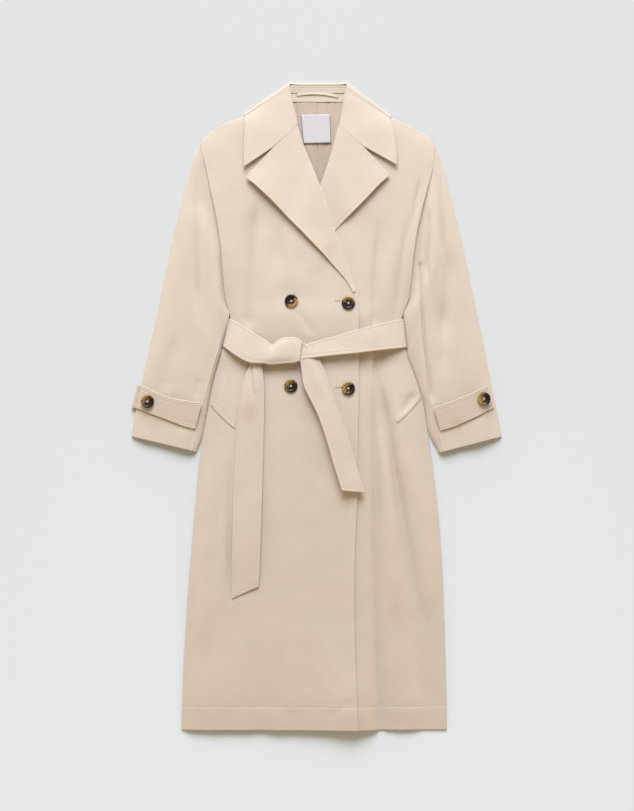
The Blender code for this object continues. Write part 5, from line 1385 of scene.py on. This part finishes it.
def make_facing():
    levels = stations(FACING_TOP - FACING_LOW - GAP, PLAIN_EDGE, PLAIN_EDGE, 4)[0] + FACING_LOW + GAP
    x = FACING_MIDDLE + stations(2 * FACING_REACH, PLAIN_EDGE, PLAIN_EDGE, 26) - FACING_REACH
    x, y = np.meshgrid(x[0], levels)
    height = back_lift(x, y) + ON_BACK + FACING_LIFT + 0.2 * noise(x, y, 17.0, 51)
    patch("neck_facing", x, y, height, CLOTH, SHELL, tight={"top": SEAM_CLOTH})


def make_stand():
    """The inner stand, from the neck seam up to the collar's fold, topstitched twice."""
    height = STAND_TOP - STAND_LOW
    levels = stations(height, PLAIN_EDGE, PLAIN_EDGE, 30)[0] + STAND_LOW
    t = ((levels - STAND_LOW) / height)[:, None]
    across = stations(1.0, (0.0, 0.01), (0.0, 0.01), 30)
    reach = STAND_TUCK * (1.0 - t)
    x = (STAND_RIGHT - reach) * (1.0 - across) + (STAND_LEFT + reach) * across
    y = levels[:, None] + 0.0 * x
    grooves = sum(-0.4 * np.exp(-((y - level) / 0.7) ** 2) for level in STAND_STITCHES)
    lift = STAND_LOW_HEIGHT + (STAND_TOP_HEIGHT - STAND_LOW_HEIGHT) * t ** 1.3 + grooves
    patch("collar_stand", x, y, lift + 0.25 * noise(x, y, 15.0, 57), CLOTH, SHELL,
          tight={"low": SEAM_CLOTH, "top": SEAM_CLOTH, "left": 0.2, "right": 0.2})


def make_lining():
    levels = stations(FACING_LOW - LINING_LOW, PLAIN_EDGE, PLAIN_EDGE, 56)[0] + LINING_LOW
    half = np.interp(levels, (LINING_LOW, FACING_LOW), LINING_HALF_WIDTHS)
    shares = stations(2 * half, PLAIN_EDGE, PLAIN_EDGE, 70) / (2 * half)[:, None]
    x = cross_grid(-half, half, shares)
    y = np.repeat(levels[:, None], x.shape[1], axis=1)
    folds = creases(x, y, LINING_CREASES) + LINING_AIR + 0.3 * noise(x, 0.4 * y, 12.0, 53)
    patch("lining", x, y, back_lift(x, y) + ON_BACK + folds, LINING_CLOTH, LINING)


def make_label():
    a, b, c, d = (np.array(corner) for corner in LABEL_CORNERS)
    across = np.linspace(0.0, 1.0, 30)[None, :, None]
    down = np.linspace(0.0, 1.0, 30)[:, None, None]
    plan = (a + (b - a) * across) * (1 - down) + (d + (c - d) * across) * down
    x, y = plan[..., 0], plan[..., 1]
    rise = LABEL_AIR + LABEL_LIFT * down[..., 0] ** 2
    height = back_lift(x, y) + ON_BACK + LINING_CLOTH + rise
    patch("label", x, y, height, LABEL_CLOTH, LABEL)


def make_hanger_loop():
    (x0, y0), (x1, y1) = LOOP_ENDS
    t = np.linspace(0.0, 1.0, 40)
    arch = 4.0 * t * (1.0 - t)
    low = y0 + (y1 - y0) * t + LOOP_ARCH * arch
    rows = stations(LOOP_WIDTH, NARROW_EDGE, NARROW_EDGE, 4)[0]
    x = np.repeat((x0 + (x1 - x0) * t)[None, :], len(rows), axis=0)
    y = low[None, :] + rows[:, None]
    standing = (1.0 - rows / LOOP_WIDTH)[:, None]
    height = back_lift(x, y) + 2 * ON_BACK + FACING_LIFT + LOOP_AIR + LOOP_LIFT * standing * arch ** 0.5
    patch("hanger_loop", x, y, height, LOOP_CLOTH, SHELL)


def make_button(name, x, y, seat, bearing, reach):
    """Turned button: raised rim, dished middle, four holes, sewn crosswise with thread."""
    corners = np.array(BUTTON_PROFILE) * (BUTTON_RADIUS, BUTTON_HEIGHT)
    keys = running(paces(*corners.T))
    at = np.concatenate([np.linspace(0.15, keys[2], FACE_LINES), np.linspace(keys[2], keys[12], 26)[1:]])
    radius, lift = np.interp(at, keys, corners[:, 0]), np.interp(at, keys, corners[:, 1])
    turn = np.arange(BUTTON_STEPS) * 2.0 * np.pi / BUTTON_STEPS
    px, py = radius[:, None] * np.cos(turn), radius[:, None] * np.sin(turn)
    pz = np.repeat(lift[:, None], BUTTON_STEPS, axis=1)
    on_face = (np.arange(len(at)) < FACE_LINES)[:, None]
    holes = np.radians(np.arange(BUTTON_HOLES) * 90.0 + 45.0 + 0.5 * bearing)
    for angle in holes:
        off = np.hypot(px - HOLE_CIRCLE * np.cos(angle), py - HOLE_CIRCLE * np.sin(angle))
        pz = pz - HOLE_DEPTH * np.exp(-(off / HOLE_RADIUS) ** 4) * on_face
    points = stack(px + x, py + y, pz + seat).reshape(-1, 3)
    points = np.concatenate([points, [(x, y, seat + pz[0].mean()), (x, y, seat)]])
    faces = [(b, a, d, c) for a, b, c, d in ring_faces(len(at), BUTTON_STEPS)]
    last = (len(at) - 1) * BUTTON_STEPS
    for j in range(BUTTON_STEPS):
        k = (j + 1) % BUTTON_STEPS
        faces += [(len(points) - 2, j, k), (last + k, last + j, len(points) - 1)]
    finish = button_material("tortoiseshell_" + name, x, y, bearing, reach)
    hand_over(add_mesh(name + "_turned", points * MM, faces, finish), [name])
    centres, directions = [], []
    for first, second in ((0, 2), (1, 3)):
        span = np.array([np.cos(holes[first]) - np.cos(holes[second]),
                         np.sin(holes[first]) - np.sin(holes[second]), 0.0])
        for shift in (-0.3, 0.3):
            across = np.array([-span[1], span[0], 0.0]) / np.linalg.norm(span)
            centres.append(np.array([x, y, seat + THREAD_LEVEL * BUTTON_HEIGHT + 0.1]) + across * shift)
            directions.append(span / np.linalg.norm(span))
    upright = np.tile((0.0, 0.0, 1.0), (len(centres), 1))
    points, faces = capsules(np.array(centres), np.array(directions), upright, 2.2 * HOLE_CIRCLE,
                             0.32, 0.7)
    hand_over(add_mesh(name + "_thread", points * MM, faces, THREAD))


def make_buttons():
    rim = np.radians(np.arange(0.0, 360.0, 10.0))
    ring_x, ring_y = BUTTON_RADIUS * np.cos(rim), BUTTON_RADIUS * np.sin(rim)
    for name, (x, y, bearing, reach) in FRONT_BUTTONS.items():
        seat = float(on_fronts(x + ring_x, y + ring_y).max()) - LAID_GAP
        make_button(name, x, y, seat + GAP, bearing, reach)
    for name, (x, y, bearing, reach) in CUFF_BUTTONS.items():
        side = -1 if x < 0 else 1
        top = float(sleeve_top(side, *sleeve_place(side, x + ring_x, y + ring_y)).max())
        make_button(name, x, y, top + STRAP_CLOTH + STRAP_SLOPE + CUFF_BUTTON_AIR, bearing, reach)


# ---- sewing ------------------------------------------------------------------------------------
def on_top(line, lift):
    """Points on the right front's face along a plan line, with upright normals."""
    line = np.array(line, float)
    run = running(paces(*line.T))
    x, y = read_off(np.linspace(0.0, run[-1], 60), run, line).T
    return stack(x, y, on_fronts(x, y) - LAID_GAP + lift), np.tile((0.0, 0.0, 1.0), (60, 1))


def make_sewing(plain_belt):
    points, normals = line_near(SHELLS["front_right"], "right")
    below_break = points[:, 1] < BREAK_LEVEL
    lines = [(points[below_break], normals[below_break])]
    lines += [line_near(SHELLS[name], "right") for name in ("lapel_right", "lapel_left", "collar")]
    stitch_rows("stitches_edges", lines, THREAD)
    stitch_rows("stitches_hips", [on_top(line, 0.1) for line in HIP_STITCHES], THREAD)
    # each buttonhole is a row of dark brown dashes: painted shade of its slit
    stitch_rows("buttonhole_slits_painted_shade", [on_top(line, 0.0) for line in BUTTONHOLES], HOLE_SLIT_SHADE,
                *HOLE_STITCH)
    lines = []
    for side in ("left", "right"):
        points, normals = line_near(SHELLS["belt"], side, STITCH_INSET + 0.2)
        lines.append((points[plain_belt], normals[plain_belt]))
    for end in (SHELLS["belt_end_long"], SHELLS["belt_end_short"]):
        lines += [line_near(end, "left"), line_near(end, "right"),
                  line_near(end, "top", span=(0.1, 0.9))]
    for strap in (SHELLS["cuff_strap_right"], SHELLS["cuff_strap_left"]):
        for inset in STRAP_STITCHES:
            lines += [line_near(strap, "left", inset), line_near(strap, "right", inset),
                      line_near(strap, "low", inset, (0.15, 0.85))]
    stitch_rows("stitches_belt_and_straps", lines, THREAD)


# ---- the coat ----------------------------------------------------------------------------------
make_back()
make_front("front_right", -1, "over_edge", lambda x, y: front_height(x, y) + over_lap(x, y))
make_front("front_left", 1, "under_edge", front_height)
for wearers_side in (-1, 1):
    make_sleeve(wearers_side)
for wearers_side in (-1, 1):
    make_lapel(wearers_side)
make_collar()
make_facing()
make_stand()
make_lining()
make_label()
make_hanger_loop()
belt_outside_knot = make_belt()
make_belt_end("belt_end_long", END_LONG_ROWS, END_LONG_CREASES, END_LONG_TILT)
make_belt_end("belt_end_short", END_SHORT_ROWS, END_SHORT_CREASES, END_SHORT_TILT)
for wearers_side in (-1, 1):
    make_strap(wearers_side)
for welt_name, welt_corners in WELTS.items():
    make_welt(welt_name, welt_corners)
make_buttons()
make_sewing(belt_outside_knot)

lay_sheet("back")
lay_sheet("front_right")
lay_sheet("front_left")
lay_sheet("sleeve_right")
lay_sheet("sleeve_left")
lay_sheet("lapel_right")
lay_sheet("lapel_left")
lay_sheet("collar")
lay_sheet("collar_stand")
lay_sheet("neck_facing")
lay_sheet("lining")
lay_sheet("label")
lay_sheet("belt")
lay_sheet("belt_end_long")
lay_sheet("belt_end_short")
lay_sheet("cuff_strap_right")
lay_sheet("cuff_strap_left")


# ---- floor, light and camera -------------------------------------------------------------------
def key_irradiance(x, y):
    """Radiance that the key light gives a white matt floor at a point, per channel."""
    towards = np.array(KEY_PLACE) - np.array([x, y, 0.0])
    distance = np.linalg.norm(towards)
    aim = np.array(KEY_PLACE) / np.linalg.norm(KEY_PLACE)
    cosines = towards[2] / distance * float(towards @ aim) / distance
    return KEY_POWER * cosines / (np.pi * distance) ** 2 * np.array(KEY_COLOUR)


def make_floor():
    mesh = bpy.data.meshes.new("floor")
    corners = ((-1, -1), (1, -1), (1, 1), (-1, 1))
    mesh.from_pydata([(x * FLOOR_HALF, y * FLOOR_HALF, -FLOOR_DROP * MM) for x, y in corners], [],
                     [(0, 1, 2, 3)])
    floor = place_object("floor", mesh)
    material, tree, shader = new_material("floor_paper", {"Roughness": 1.0, "Specular IOR Level": 0.0})
    where = add_node(tree, "TexCoord", {}).outputs["Object"]
    slant = np.array((KEY_PLACE[0], KEY_PLACE[1], 0.0)) / np.hypot(*KEY_PLACE[:2])
    along = add_node(tree, "VectorMath", {0: where, 1: slant}, operation="DOT_PRODUCT")
    span = add_node(tree, "MapRange", {"From Min": -FLOOR_SHADED, "From Max": FLOOR_SHADED,
                                       "Value": along.outputs["Value"]})
    ramp = add_node(tree, "ValToRGB", {"Fac": span.outputs["Result"]})
    for share in (0.0, 0.25, 0.5, 0.75, 1.0):
        light = np.array(FILL_COLOUR) * FILL_STRENGTH
        light = light + key_irradiance(*(FLOOR_SHADED * (2.0 * share - 1.0) * slant[:2]))
        stops = ramp.color_ramp.elements
        stop = stops.new(share) if 0.0 < share < 1.0 else stops[-1 if share else 0]
        gain = 1.0 + np.array(FLOOR_FAR_GAIN) * share ** 2
        stop.color = tuple(np.array(FLOOR_SEEN) / light * gain) + (1.0,)
    tree.links.new(ramp.outputs["Color"], shader.inputs["Base Color"])
    mesh.materials.append(material)


def make_light():
    lamp = bpy.data.lights.new("key", "AREA")
    lamp.shape = "DISK"
    lamp.size = KEY_SIZE
    lamp.energy = KEY_POWER
    lamp.color = KEY_COLOUR
    key = place_object("key", lamp)
    key.location = KEY_PLACE
    key.rotation_euler = (-Vector(KEY_PLACE)).to_track_quat("-Z", "Y").to_euler()
    world = bpy.data.worlds.new("studio")
    world.use_nodes = True
    background = world.node_tree.nodes["Background"]
    background.inputs["Color"].default_value = FILL_COLOUR + (1.0,)
    tree = world.node_tree
    sky = add_node(tree, "TexCoord", {}).outputs["Generated"]
    height = add_node(tree, "SeparateXYZ", {"Vector": sky}).outputs["Z"]
    # a radiance of 6 (1 - z)^2 lights a level floor as much as an even one of 1
    low = add_node(tree, "Math", {0: 1.0, 1: height}, operation="SUBTRACT", use_clamp=True)
    strength = low.outputs["Value"]
    for operation, number in (("POWER", 2.0), ("MULTIPLY", 6.0 * FILL_LOW * FILL_STRENGTH),
                              ("ADD", (1.0 - FILL_LOW) * FILL_STRENGTH)):
        strength = add_node(tree, "Math", {0: strength, 1: number}, operation=operation).outputs["Value"]
    tree.links.new(strength, background.inputs["Strength"])
    bpy.context.scene.world = world


def make_camera():
    camera = bpy.data.cameras.new("camera")
    camera.lens = CAMERA_LENS
    camera.sensor_width = CAMERA_SENSOR
    holder = place_object("camera", camera)
    holder.location = CAMERA_PLACE
    bpy.context.scene.camera = holder
    bpy.context.scene.view_settings.view_transform = "Standard"
    bpy.context.scene.view_settings.look = "None"


make_floor()
make_light()
make_camera()
